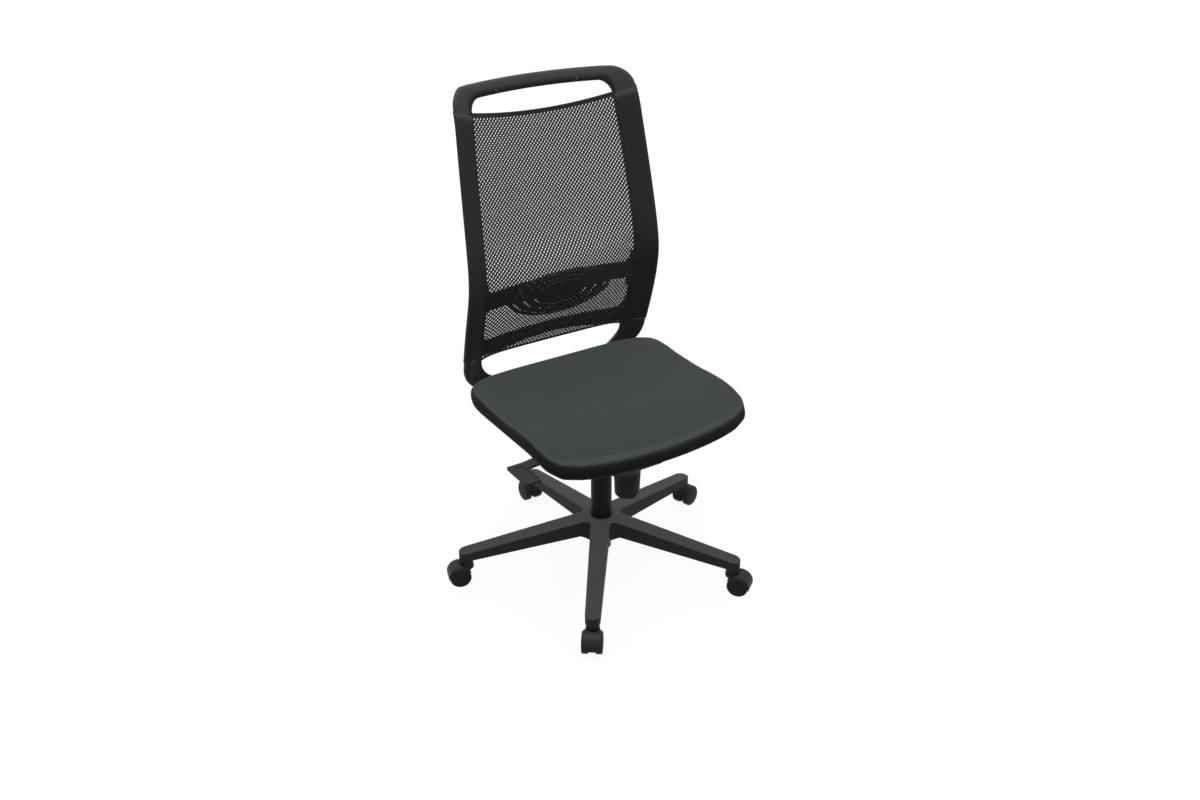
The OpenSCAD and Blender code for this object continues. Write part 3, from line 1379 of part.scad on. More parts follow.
seat_pan();
seat_screws();
seat_cushion();
back_bracket();
link_pin();
bracket_bolts();
back_frame();
sleeve_left();
sleeve_right();
mesh_panel();
lumbar_tracks();
lumbar_pad();
lumbar_clip_left();
lumbar_clip_right();
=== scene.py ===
"""Looks of a mesh-back office chair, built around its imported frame.

Shapes are worked out in millimetres, in the frame of the part's source, and become metres
where a mesh is made. Heights of the backrest count from the underside of the seat.
"""

import functools
import logging
import math
from dataclasses import dataclass
from enum import Enum
from typing import Any, Sequence

import bpy
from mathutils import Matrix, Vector


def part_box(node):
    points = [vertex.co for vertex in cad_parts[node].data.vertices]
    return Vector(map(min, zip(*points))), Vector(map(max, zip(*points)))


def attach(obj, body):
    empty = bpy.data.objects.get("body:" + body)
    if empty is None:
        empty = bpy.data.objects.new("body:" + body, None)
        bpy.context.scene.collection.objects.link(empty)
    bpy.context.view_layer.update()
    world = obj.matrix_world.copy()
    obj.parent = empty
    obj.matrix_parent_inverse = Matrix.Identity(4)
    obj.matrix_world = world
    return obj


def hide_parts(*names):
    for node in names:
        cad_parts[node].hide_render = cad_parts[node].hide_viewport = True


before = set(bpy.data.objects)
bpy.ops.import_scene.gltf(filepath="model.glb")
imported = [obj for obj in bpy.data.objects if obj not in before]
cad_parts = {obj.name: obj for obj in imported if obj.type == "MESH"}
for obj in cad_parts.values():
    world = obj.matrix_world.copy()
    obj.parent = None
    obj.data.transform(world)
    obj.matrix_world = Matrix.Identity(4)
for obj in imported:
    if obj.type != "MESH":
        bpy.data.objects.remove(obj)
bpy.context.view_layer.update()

MM = 0.001
IMAGE_W = 1200
log = logging.getLogger("chair")

Point = tuple[float, float, float]
Ring = list[Point]
Colour = tuple[float, float, float]
Skin = tuple[list[Point], list[list[int]]]


class Side(Enum):
    """Which side of the sitter a piece is on; the value is the sign of X."""

    RIGHT = -1
    LEFT = 1


class Grain(Enum):
    """How the surface of a moulding was finished in its tool."""

    SATIN = 0.35
    ERODED = 1.0


def linear(colour: Colour) -> tuple[float, float, float, float]:
    """Turn a display colour into scene-linear values.

    Args:
        colour: Red, green and blue from 0 to 255.

    Returns:
        Linear red, green and blue, with an alpha of one.
    """
    parts = [c / 255 for c in colour]
    bent = [p / 12.92 if p <= 0.04045 else ((p + 0.055) / 1.055) ** 2.4 for p in parts]
    return bent[0], bent[1], bent[2], 1.0


def tinted(colour: Colour, factor: float) -> Colour:
    """Multiply each part of a display colour by a factor."""
    return colour[0] * factor, colour[1] * factor, colour[2] * factor


def clamp(value: float, low: float, high: float) -> float:
    """Keep a value between two limits."""
    return max(low, min(high, value))


def smooth(value: float) -> float:
    """Ease a share from 0 to 1 with level ends."""
    s = clamp(value, 0, 1)
    return s * s * (3 - 2 * s)


def cosd(degrees: float) -> float:
    """Cosine of an angle in degrees."""
    return math.cos(math.radians(degrees))


def sind(degrees: float) -> float:
    """Sine of an angle in degrees."""
    return math.sin(math.radians(degrees))


# Shader expressions


class Signal:
    """A shader socket that takes part in Python arithmetic."""

    def __init__(self, desk: "NodeDesk", socket: bpy.types.NodeSocket) -> None:
        """Wrap one output socket of a node on the given desk."""
        self.desk = desk
        self.socket = socket

    def math(self, operation: str, *terms: "Signal | float") -> "Signal":
        """Run a Math node on terms in the order of its sockets."""
        return self.desk.add("ShaderNodeMath", {"operation": operation}, dict(enumerate(terms)))

    def __add__(self, other: "Signal | float") -> "Signal":
        """Add."""
        return self.math("ADD", self, other)

    def __radd__(self, other: float) -> "Signal":
        """Add to a number."""
        return self.math("ADD", other, self)

    def __sub__(self, other: "Signal | float") -> "Signal":
        """Subtract."""
        return self.math("SUBTRACT", self, other)

    def __rsub__(self, other: float) -> "Signal":
        """Subtract from a number."""
        return self.math("SUBTRACT", other, self)

    def __mul__(self, other: "Signal | float") -> "Signal":
        """Multiply."""
        return self.math("MULTIPLY", self, other)

    def __rmul__(self, other: float) -> "Signal":
        """Multiply a number."""
        return self.math("MULTIPLY", other, self)

    def sine(self) -> "Signal":
        """Sine of the value."""
        return self.math("SINE", self)

    def absolute(self) -> "Signal":
        """Value without its sign."""
        return self.math("ABSOLUTE", self)

    def step(self, low: float, high: float) -> "Signal":
        """Rise smoothly from 0 to 1 between two values."""
        return self.desk.add("ShaderNodeMapRange", {"interpolation_type": "SMOOTHSTEP"},
                             {"Value": self, "From Min": low, "From Max": high})


class NodeDesk:
    """Where the nodes of one tree are laid out and linked."""

    def __init__(self, tree: bpy.types.NodeTree) -> None:
        """Take a tree to work on."""
        self.tree = tree

    def add(self, kind: str, settings: dict[str, Any] | None = None,
            sockets: dict[int | str, Any] | None = None, output: int | str | None = 0) -> Signal:
        """Add any node.

        Args:
            kind: The node's type.
            settings: Attributes, which are set before its sockets.
            sockets: Values or signals by socket name or number.
            output: The output that is returned, or None for a node without one.

        Returns:
            A signal on that output, or on the node itself.
        """
        node = self.tree.nodes.new(kind)
        for name, value in (settings or {}).items():
            setattr(node, name, value)
        for key, value in (sockets or {}).items():
            self.put(node.inputs[key], value)
        return Signal(self, node if output is None else node.outputs[output])

    def put(self, socket: bpy.types.NodeSocket, value: Any) -> None:
        """Link a signal to a socket, or set the socket's own value.

        Args:
            socket: The input socket.
            value: A signal, or a plain value that suits the socket.
        """
        if isinstance(value, Signal):
            self.tree.links.new(value.socket, socket)
        else:
            socket.default_value = value

    def seen(self) -> Signal:
        """Tell rays that are looked along from rays of light.

        Returns:
            A mask that is 1 for the camera, a reflection or glass, and 0 for light.
        """
        path = self.add("ShaderNodeLightPath").socket.node
        camera, glossy, glass = (Signal(self, path.outputs[f"Is {kind} Ray"])
                                 for kind in ("Camera", "Glossy", "Transmission"))
        return camera.math("MAXIMUM", camera.math("MAXIMUM", camera, glossy), glass)


class ShaderDesk(NodeDesk):
    """The nodes of one material round its principled shader."""

    def __init__(self, name: str) -> None:
        """Start a material with a bare principled shader.

        Args:
            name: The material's name.
        """
        self.material = bpy.data.materials.new(name)
        self.material.use_nodes = True
        super().__init__(self.material.node_tree)
        self.shader = self.tree.nodes["Principled BSDF"]

    def dress(self, **values: Any) -> None:
        """Set sockets of the principled shader; an underscore in a name stands for a space."""
        for name, value in values.items():
            self.put(self.shader.inputs[name.replace("_", " ")], value)

    def place(self) -> Signal:
        """Position on the piece, in metres."""
        return self.add("ShaderNodeTexCoord", output="Object")

    def axes(self) -> tuple[Signal, Signal, Signal]:
        """The three parts of the position, in metres."""
        node = self.add("ShaderNodeSeparateXYZ", sockets={0: self.place()}).socket.node
        return tuple(Signal(self, node.outputs[i]) for i in range(3))

    def upward(self) -> Signal:
        """How far the surface faces up, from -1 to 1."""
        normal = self.add("ShaderNodeNewGeometry", output="Normal")
        return self.add("ShaderNodeSeparateXYZ", sockets={0: normal}, output="Z")

    def noise(self, size: float, detail: float = 2.0, stretch: Point = (1, 1, 1)) -> Signal:
        """Soft noise from 0 to 1, with blobs of a size in millimetres and so many finer layers."""
        spread = self.add("ShaderNodeVectorMath", {"operation": "MULTIPLY"},
                          {0: self.place(), 1: stretch})
        return self.add("ShaderNodeTexNoise", sockets={
            "Vector": spread, "Scale": 1 / (size * MM), "Detail": detail})

    def mix(self, mask: "Signal | float", low: Colour, high: Colour) -> Signal:
        """Mix two display colours by a mask."""
        return self.add("ShaderNodeMix", {"data_type": "RGBA"},
                        {0: mask, 6: linear(low), 7: linear(high)}, output=2)

    def varied(self, mask: Signal, colour: Colour, spread: float) -> Signal:
        """Let a display colour vary by a share to both sides, by a mask."""
        return self.mix(mask, tinted(colour, 1 - spread), tinted(colour, 1 + spread))

    def over(self, mask: "Signal | float", low: Signal, high: Colour) -> Signal:
        """Lay a display colour over a colour signal by a mask."""
        return self.add("ShaderNodeMix", {"data_type": "RGBA"},
                        {0: mask, 6: low, 7: linear(high)}, output=2)

    def bump(self, height: Signal, depth: float, normal: Signal | None = None) -> Signal:
        """Relief from a height.

        Args:
            height: Height from 0 to 1.
            depth: What a height of 1 stands for, in millimetres.
            normal: The normal that the relief starts from.

        Returns:
            The bent normal.
        """
        sockets = {"Height": height, "Distance": depth * MM, "Strength": 1.0}
        if normal is not None:
            sockets["Normal"] = normal
        return self.add("ShaderNodeBump", sockets=sockets)

    def softened(self, radius: float) -> Signal:
        """Normal of the piece with its edges rounded by a radius in millimetres."""
        return self.add("ShaderNodeBevel", {"samples": 4}, {"Radius": radius * MM})

    def hollows(self, reach: float) -> Signal:
        """Mask that rises to 1 in gaps and inner corners narrower than a reach in millimetres, for
        painted shade.
        """
        open_sky = self.add("ShaderNodeAmbientOcclusion", {"samples": 6}, {"Distance": reach * MM},
                            output="AO")
        return (1 - open_sky).step(0.1, 0.8)

    def edges(self, softened: Signal) -> Signal:
        """Find the edges which a softened normal rounds.

        Args:
            softened: The softened normal.

        Returns:
            A mask that is 1 on those edges.
        """
        flat = self.add("ShaderNodeNewGeometry", output="Normal")
        same = self.add("ShaderNodeVectorMath", {"operation": "DOT_PRODUCT"},
                        {0: softened, 1: flat}, output="Value")
        return (1 - same).step(0.02, 0.3)


# Finishes


@dataclass(frozen=True)
class MouldedPlastic:
    """A moulded plastic with a tool grain, cloudy gloss, edges rubbed smooth and painted shade in
    hollows.
    """

    name: str
    colour: Colour
    roughness: float = 0.5
    grain: Grain = Grain.ERODED
    edge: float = 1.2
    rub: float = 1.18
    # shade: how strongly shade is painted into gaps and inner corners
    shade: float = 0.9

    @functools.cache
    def material(self) -> bpy.types.Material:
        """Build the material once.

        Returns:
            The material.
        """
        desk = ShaderDesk(self.name)
        cloud, fine = desk.noise(70, 3), desk.noise(1.1, 2)
        soft = desk.softened(self.edge)
        rubbed = desk.edges(soft) * (0.35 + 0.5 * desk.noise(9, 4))
        worn = desk.over(rubbed, desk.varied(cloud, self.colour, 0.07), tinted(self.colour, self.rub))
        desk.dress(
            # Painted shade: the colour darkens towards 0.3 of itself in gaps and inner corners found by
            # ambient occlusion.
            Base_Color=desk.over(self.shade * desk.hollows(14), worn, tinted(self.colour, 0.3)),
            Roughness=self.roughness + 0.12 * (cloud - 0.5) + 0.1 * (fine - 0.5) - 0.12 * rubbed,
            Normal=desk.bump(fine, 0.03 * self.grain.value, soft),
            Specular_IOR_Level=0.1)
        return desk.material


@dataclass(frozen=True)
class WovenSeat:
    """The seat's flat woven cloth over foam, with painted shade on its sides and a painted highlight
    along its crest.
    """

    name: str
    colour: Colour
    # side: share of the colour for the painted shade on the cushion's sides
    side: float = 0.56
    # crest: share of the colour for the painted highlight along the cushion's top edge
    crest: float = 1.32
    pitch: float = 1.3

    @functools.cache
    def material(self) -> bpy.types.Material:
        """Build the material once.

        Returns:
            The material.
        """
        desk = ShaderDesk(self.name)
        x, y, z = desk.axes()
        turns = 2 * math.pi / (self.pitch * MM)
        warp, weft = ((x + z) * turns).sine(), ((y + z) * turns).sine()
        weave = 0.5 + 0.5 * (warp * weft)
        fuzz, cloud = desk.noise(2.4, 4), desk.noise(60, 3)
        colour = desk.varied(0.3 * weave + 0.35 * fuzz + 0.35 * cloud, self.colour, 0.1)
        up = desk.upward()
        # Painted highlight: a thin band where the top turns down over the edge.
        crest = up.step(0.68, 0.8) * (1 - up.step(0.86, 0.94))
        # Painted shade: faces turned away from straight up get a darker copy of the cloth colour.
        painted_side_shade = desk.over(1 - up.step(0.4, 0.8), colour, tinted(self.colour, self.side))
        desk.dress(
            # The painted highlight is laid over the colour that carries the painted side shade.
            Base_Color=desk.over(0.5 * crest, painted_side_shade, tinted(self.colour, self.crest)),
            Roughness=0.8 + 0.12 * (fuzz - 0.5),
            Normal=desk.bump(0.6 * weave + 0.4 * fuzz, 0.12),
            Specular_IOR_Level=0.08, Sheen_Weight=0.05, Sheen_Roughness=0.5,
            Sheen_Tint=linear((190, 205, 208)))
        return desk.material


@dataclass(frozen=True)
class KnitNet:
    """The open net, or the same knit where it lies closed on a rail.

    A cell is the net's pitch across and up, and cover is how much a strand hides.
    """

    name: str
    colour: Colour
    cell: tuple[float, float] = (9.5, 10.2)
    closed: bool = False
    cover: float = 1.0

    @functools.cache
    def material(self) -> bpy.types.Material:
        """Build the material once.

        Returns:
            The material.
        """
        desk = ShaderDesk(self.name)
        x, _, z = desk.axes()
        across, up = x * (math.pi / (self.cell[0] * MM)), z * (math.pi / (self.cell[1] * MM))
        eyes = (((across + up).sine() * (across - up).sine()).absolute()).step(0.25, 0.85)
        turns = 2 * math.pi / (0.9 * MM)
        yarn = 0.5 + 0.25 * ((x + z) * turns).sine() + 0.25 * ((x - z) * turns).sine()
        fuzz = desk.noise(3, 4)
        holes = eyes if self.closed else 0 * eyes
        colour = desk.varied(0.5 * yarn + 0.5 * fuzz, self.colour, 0.12)
        desk.dress(
            Base_Color=desk.over(0.3 * holes, colour, tinted(self.colour, 0.62)),
            Roughness=0.66 + 0.14 * (fuzz - 0.5) + 0.1 * holes,
            Normal=desk.bump(0.35 * yarn + 0.1 * fuzz + 0.55 * (1 - holes), 0.14),
            Specular_IOR_Level=0.08, Alpha=self.cover)
        return desk.material


@dataclass(frozen=True)
class Metal:
    """Drawn or turned steel, bare or under a thin dark paint."""

    name: str
    colour: Colour
    metallic: float
    roughness: float
    drawn: Point = (1, 1, 0.05)
    gloss: float = 0.5

    @functools.cache
    def material(self) -> bpy.types.Material:
        """Build the material once.

        Returns:
            The material.
        """
        desk = ShaderDesk(self.name)
        lines, cloud = desk.noise(2.2, 3, self.drawn), desk.noise(40, 3)
        soft = desk.softened(0.5)
        rubbed = desk.edges(soft) * desk.noise(6, 4)
        colour = desk.varied(0.5 * lines + 0.5 * cloud, self.colour, 0.1)
        desk.dress(
            Base_Color=desk.over(0.6 * rubbed, colour, tinted(self.colour, 1.3)),
            Metallic=self.metallic, Specular_IOR_Level=self.gloss,
            Roughness=self.roughness + 0.14 * (lines - 0.5) + 0.1 * (cloud - 0.5),
            Normal=desk.bump(lines, 0.01, soft))
        return desk.material


Finish = MouldedPlastic | WovenSeat | KnitNet | Metal

BASE_NYLON = MouldedPlastic("base_nylon", (64, 64, 64), 0.6, Grain.ERODED, 1.0)
FRAME_NYLON = MouldedPlastic("frame_nylon", (75, 75, 75), 0.55, Grain.ERODED, 1.5)
BAR_NYLON = MouldedPlastic("bar_nylon", (58, 58, 58), 0.55, Grain.ERODED, 1.0)
HANDLE_DARK_BAND = MouldedPlastic("handle_dark_band", (39, 39, 39), 0.5, Grain.SATIN, 0.6)
JOINT_LINE = MouldedPlastic("joint_line", (150, 150, 150), 0.5, Grain.SATIN, 0.2)
HOOD_NYLON = MouldedPlastic("hood_nylon", (49, 49, 50), 0.5, Grain.SATIN, 0.8)
WHEEL_NYLON = MouldedPlastic("wheel_nylon", (43, 43, 44), 0.5, Grain.SATIN, 0.8)
LEVER_NYLON = MouldedPlastic("lever_nylon", (64, 64, 65), 0.5, Grain.SATIN, 0.8)
KNOB_RUBBER = MouldedPlastic("knob_rubber", (44, 44, 45), 0.5, Grain.SATIN, 0.9)
PAN_PLASTIC = MouldedPlastic("pan_plastic", (40, 40, 41), 0.6, Grain.ERODED, 1.0)
LUMBAR_PLASTIC = MouldedPlastic("lumbar_plastic", (60, 60, 61), 0.55, Grain.SATIN, 0.8)
# Near-white rims on the lumbar pad: a painted highlight along its slot edges.
LUMBAR_RIM_PAINTED_HIGHLIGHT = MouldedPlastic("lumbar_rim_painted_highlight", (200, 200, 201), 0.5, Grain.SATIN, 0.2)
BUSH_PLASTIC = MouldedPlastic("bush_plastic", (50, 50, 51), 0.45, Grain.SATIN, 0.5)
SEAT_CLOTH = WovenSeat("seat_cloth", (64, 68, 69))
NET_YARN = KnitNet("net_yarn", (62, 62, 62), cover=0.9)
SLEEVE_KNIT = KnitNet("sleeve_knit", (74, 74, 74), closed=True)
HEM_TAPE = MouldedPlastic("hem_tape", (58, 58, 58), 0.7, Grain.ERODED, 0.4)
# Pale thread for the welt and stitches, also the painted highlight along each sleeve's lower edge.
SEAM_THREAD_AND_PAINTED_HIGHLIGHT = MouldedPlastic("seam_thread_and_painted_highlight", (136, 136, 136), 0.7, Grain.ERODED, 0.2)
COLUMN_PAINT = Metal("column_paint", (38, 38, 39), 0.0, 0.5, gloss=0.08)
PLATE_PAINT = Metal("plate_paint", (44, 44, 45), 0.0, 0.5, (1, 0.1, 1), 0.2)
BRIGHT_STEEL = Metal("bright_steel", (150, 150, 154), 1.0, 0.3)


# Mesh makers


def piece(name: str, points: Sequence[Point], faces: Sequence[Sequence[int]], body: str,
          finish: Finish, slot: str, crease: float = 40.0) -> bpy.types.Object:
    """Make a smooth-shaded piece from points in millimetres and let it ride on a body.

    Args:
        name: The piece's name.
        points: Its corners, in millimetres.
        faces: Corner numbers of each face.
        body: The body that it rides on.
        finish: The finish that dresses it.
        slot: The record's material slot; not used.
        crease: Angle in degrees from which an edge stays sharp.

    Returns:
        The new object.
    """
    mesh = bpy.data.meshes.new(name)
    mesh.from_pydata([(x * MM, y * MM, z * MM) for x, y, z in points], [], faces)
    mesh.validate()
    mesh.update()
    shade(mesh, crease)
    thing = bpy.data.objects.new(name, mesh)
    bpy.context.scene.collection.objects.link(thing)
    mesh.materials.append(finish.material())
    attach(thing, body)
    return thing


def shade(mesh: bpy.types.Mesh, crease: float) -> None:
    """Shade a mesh smooth, with edges sharper than an angle in degrees kept."""
    mesh.polygons.foreach_set("use_smooth", [True] * len(mesh.polygons))
    mesh.set_sharp_from_angle(angle=math.radians(crease))


def lofted(rings: Sequence[Ring], closed: bool = False) -> Skin:
    """Join rings of equal length into a skin.

    Args:
        rings: Rings of points, all with the same number.
        closed: Whether the last ring joins the first; otherwise the ends get caps.

    Returns:
        The points and the faces.
    """
    count, around = len(rings), len(rings[0])
    points = [p for ring in rings for p in ring]
    faces = []
    for i in range(count if closed else count - 1):
        low, high = i * around, (i + 1) % count * around
        for j in range(around):
            k = (j + 1) % around
            faces.append([low + j, low + k, high + k, high + j])
    if not closed:
        faces.append(list(range(around - 1, -1, -1)))
        faces.append([(count - 1) * around + j for j in range(around)])
    return points, faces


def strip(rows: Sequence[Ring], flipped: bool = False) -> Skin:
    """Join open rows of points of equal length into a sheet.

    Args:
        rows: The rows.
        flipped: Whether the sheet faces the other way.

    Returns:
        The points and the faces.
    """
    wide = len(rows[0])
    faces = [[i * wide + j, i * wide + j + 1, (i + 1) * wide + j + 1, (i + 1) * wide + j]
             for i in range(len(rows) - 1) for j in range(wide - 1)]
    return [p for row in rows for p in row], [face[::-1] for face in faces] if flipped else faces


def corded(name: str, line: Sequence[Point], radius: float, body: str, finish: Finish, slot: str,
           closed: bool = False) -> bpy.types.Object:
    """Make a fine round bead along a line.

    Args:
        name: The piece's name.
        line: Points of the line, in millimetres.
        radius: The bead's radius in millimetres.
        body: The body that it rides on.
        finish: The finish that dresses it.
        slot: The record's material slot; not used.
        closed: Whether the line closes on itself.

    Returns:
        The new object.
    """
    sides = 6
    rings = []
    count = len(line)
    for i, place in enumerate(line):
        behind = line[(i - 1) % count] if closed or i else place
        ahead = line[(i + 1) % count] if closed or i < count - 1 else place
        along = (Vector(ahead) - Vector(behind)).normalized()
        out = along.cross(Vector((0, 1, 0))).normalized()
        up = along.cross(out)
        turns = [360 * k / sides for k in range(sides)]
        rings.append([tuple(Vector(place) + (out * cosd(a) + up * sind(a)) * radius) for a in turns])
    return piece(name, *lofted(rings, closed), body, finish, slot, 60)


def smoothed(thing: bpy.types.Object, levels: int) -> None:
    """Add a subdivision surface of so many levels."""
    modifier = thing.modifiers.new("rounding", "SUBSURF")
    modifier.levels = modifier.render_levels = levels


def evened(thing: bpy.types.Object, rounds: int) -> None:
    """Even out a mesh by so many rounds of gentle smoothing."""
    modifier = thing.modifiers.new("evening", "SMOOTH")
    modifier.factor, modifier.iterations = 0.5, rounds


def thickened(thing: bpy.types.Object, depth: float) -> None:
    """Give a sheet a thickness behind its face.

    Args:
        thing: The sheet.
        depth: Its thickness in millimetres.
    """
    modifier = thing.modifiers.new("thickness", "SOLIDIFY")
    modifier.thickness = depth * MM
    modifier.offset = -1


# Seat


@dataclass
class Seat:
    """The upholstered seat: a foam cushion pulled over the pan.

    The cloth is held below held_rise and where it faces down past held_slope, shrinks first,
    and swells by no more than swell.
    """

    voxel: float = 5.0
    shrink: float = 0.8
    swell: float = 1.3
    pressure: float = 3.0
    stiffness: float = 20.0
    bending: float = 2.0
    quality: int = 4
    frames: int = 10
    held_rise: float = 4.0
    held_slope: float = -0.6
    rounds_before: int = 7
    rounds_after: int = 4

    def build(self) -> None:
        """Make the cushion and dress the pan under it."""
        cushion = self._cushion()
        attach(cushion, "seat")
        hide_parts("seat_cushion")
        log.info("seat: %s", cushion.name)
        dress(["seat_pan"], PAN_PLASTIC)
        dress(["seat_plate"], PLATE_PAINT)
        dress(["seat_screws"], BRIGHT_STEEL)

    def _cushion(self) -> bpy.types.Object:
        """Copy the CAD cushion, remesh it evenly, and let the cloth swell a little.

        Returns:
            The cover, with its foam's shape.
        """
        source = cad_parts["seat_cushion"]
        thing = bpy.data.objects.new("cushion_cover", source.data.copy())
        thing.data.materials.clear()
        bpy.context.scene.collection.objects.link(thing)
        remesh = thing.modifiers.new("even", "REMESH")
        remesh.mode = "VOXEL"
        remesh.voxel_size = self.voxel * MM
        evened(thing, self.rounds_before)
        self._apply(thing)
        rest = [v.co.copy() for v in thing.data.vertices]
        self._inflate(thing, rest)
        evened(thing, self.rounds_after)
        smoothed(thing, 1)
        self._apply(thing)
        thing.data.materials.append(SEAT_CLOTH.material())
        shade(thing.data, 180)
        return thing

    @staticmethod
    def _apply(thing: bpy.types.Object) -> None:
        """Turn a piece's modifiers into its mesh.

        Args:
            thing: The piece.
        """
        graph = bpy.context.evaluated_depsgraph_get()
        mesh = bpy.data.meshes.new_from_object(thing.evaluated_get(graph))
        thing.modifiers.clear()
        thing.data = mesh

    def _inflate(self, thing: bpy.types.Object, rest: list[Vector]) -> None:
        """Swell the cover with a short cloth simulation.

        Args:
            thing: The even mesh of the cushion.
            rest: Its points before the simulation, which cap how far each may move.
        """
        mesh = thing.data
        low = min(v.z for v in rest)
        held_below = low + self.held_rise * MM
        pinned = [v.index for v in mesh.vertices
                  if v.normal.z < self.held_slope or rest[v.index].z < held_below]
        for v in mesh.vertices:
            v.co = v.co - v.normal * (self.shrink * MM)
        group = thing.vertex_groups.new(name="held")
        group.add(pinned, 1.0, "REPLACE")
        cloth = thing.modifiers.new("swelling", "CLOTH")
        settings = cloth.settings
        settings.use_pressure = True
        settings.uniform_pressure_force = self.pressure
        settings.effector_weights.gravity = 0
        settings.vertex_group_mass = "held"
        settings.tension_stiffness = self.stiffness
        settings.compression_stiffness = self.stiffness
        settings.bending_stiffness = self.bending
        settings.quality = self.quality
        cloth.collision_settings.use_collision = False
        scene = bpy.context.scene
        for number in range(1, self.frames + 1):
            scene.frame_set(number)
        graph = bpy.context.evaluated_depsgraph_get()
        moved = [v.co.copy() for v in thing.evaluated_get(graph).data.vertices]
        thing.modifiers.clear()
        scene.frame_set(1)
        cap = self.swell * MM
        for v, start, end in zip(mesh.vertices, rest, moved):
            step = end - start
            if step.length > cap:
                step *= cap / step.length
            v.co = start + step
        mesh.update()


# Backrest


@dataclass
class BackShape:
    """Surfaces of the backrest, as functions of the place across it and its height.

    A height counts from the seat's base. The rails are widest apart at waist_z, and the opening
    between them at opening_z; a narrowing holds a run of height and the share lost over it.
    """

    seat_base: float = 0.0
    top: float = 707
    half_w: float = 253
    waist_z: float = 185
    waist_run: float = 472
    waist_share: float = 0.09
    waist_power: float = 1.45
    opening: float = 199
    opening_z: float = 305
    narrow_above: tuple[float, float] = (340, 0.093)
    narrow_below: tuple[float, float] = (225, 0.0226)
    rail_rise: float = 28
    depth: float = 17
    handle_depth: float = 12
    peak: tuple[float, float] = (292, 134)
    lean: float = 0.04
    turn: float = 0.2575
    turn_r: float = 52.6
    bow: float = 20
    seam_top: float = 657
    seam_low: float = 85
    corner_out: float = 38
    corner_in: float = 30
    handle_bar: float = 27
    crown: float = 1.5
    bottom: float = -17
    rim_low: float = 30
    side_low: float = 35
    low_rise: tuple[float, float] = (45, 38)
    low_run: tuple[float, float] = (120, 80)
    seam_rise: tuple[float, float] = (10, 4)
    handle_bevel: float = 0.45
    rail_bevel: float = 0.07
    flat_z: float = 45
    flat_share: float = 0.85
    rise_run: float = 43
    roll_r: float = 286
    bump: float = 34
    bump_z: float = 230
    bump_len: float = 112
    gap: float = 0.3
    net_gap: float = 0.5

    def rail_y(self, z: float) -> float:
        """How far back a rail's front outer edge is.

        Args:
            z: Height.

        Returns:
            The place on Y, in millimetres.
        """
        h = max(z, self.side_low)
        d = h - self.peak[0]
        roll = max(0, h - self.seam_top + self.corner_in) ** 2 / self.roll_r
        turn = self.turn * (math.hypot(d, self.turn_r) - self.turn_r)
        return self.peak[1] - self.lean * d + turn + roll

    def outer(self, z: float) -> float:
        """Half the width over the rails at a height."""
        away = abs(z - self.waist_z) / self.waist_run
        return self.half_w * (1 - self.waist_share * away ** self.waist_power)

    def inner(self, z: float) -> float:
        """Half the width between the rails at a height."""
        run, share = self.narrow_above if z > self.opening_z else self.narrow_below
        return self.opening * (1 - share * (abs(z - self.opening_z) / run) ** 1.5)

    def front(self, x: float, z: float) -> float:
        """Where the frame's front surface is, with the bow between the rails.

        Args:
            x: Place across the back.
            z: Height.

        Returns:
            The place on Y, in millimetres.
        """
        w, wi, a = self.outer(z), self.inner(z), abs(x)
        full = smooth((z - self.flat_z) / self.rise_run)
        rise = self.rail_rise * (self.flat_share + (1 - self.flat_share) * full)
        bow = self.bow * smooth((z - self.flat_z) / (3 * self.rise_run))
        return self.rail_y(z) + rise * smooth((w - a) / (w - wi)) + bow * (1 - min(a / wi, 1) ** 2)

    def net(self, x: float, z: float) -> float:
        """Where the net is, pushed forward over the lumbar pad."""
        push = self.bump * math.exp(-((z - self.bump_z) / self.bump_len) ** 4)
        return self.front(x, z) - push * (1 - min(abs(x) / self.inner(z), 1) ** 2)


Station = tuple[float, float, float, float, float, float]


@dataclass(frozen=True)
class CrossBar:
    """Sizes of the bar between the rails."""

    z: float = 126
    rise: float = 4
    depth: float = 9
    bow: float = 22
    fillet: float = 26
    slot_top: float = 99
    slot: float = 11.5
    slot_half: float = 0.6
    seam_in: float = 13
    ease: float = 3
    steps: int = 32
    crowding: float = 1.6

    def reach(self, shape: BackShape) -> float:
        """Half the length of the bar, with the ends that stand in the rails."""
        return shape.inner(self.z) + shape.depth * 0.8


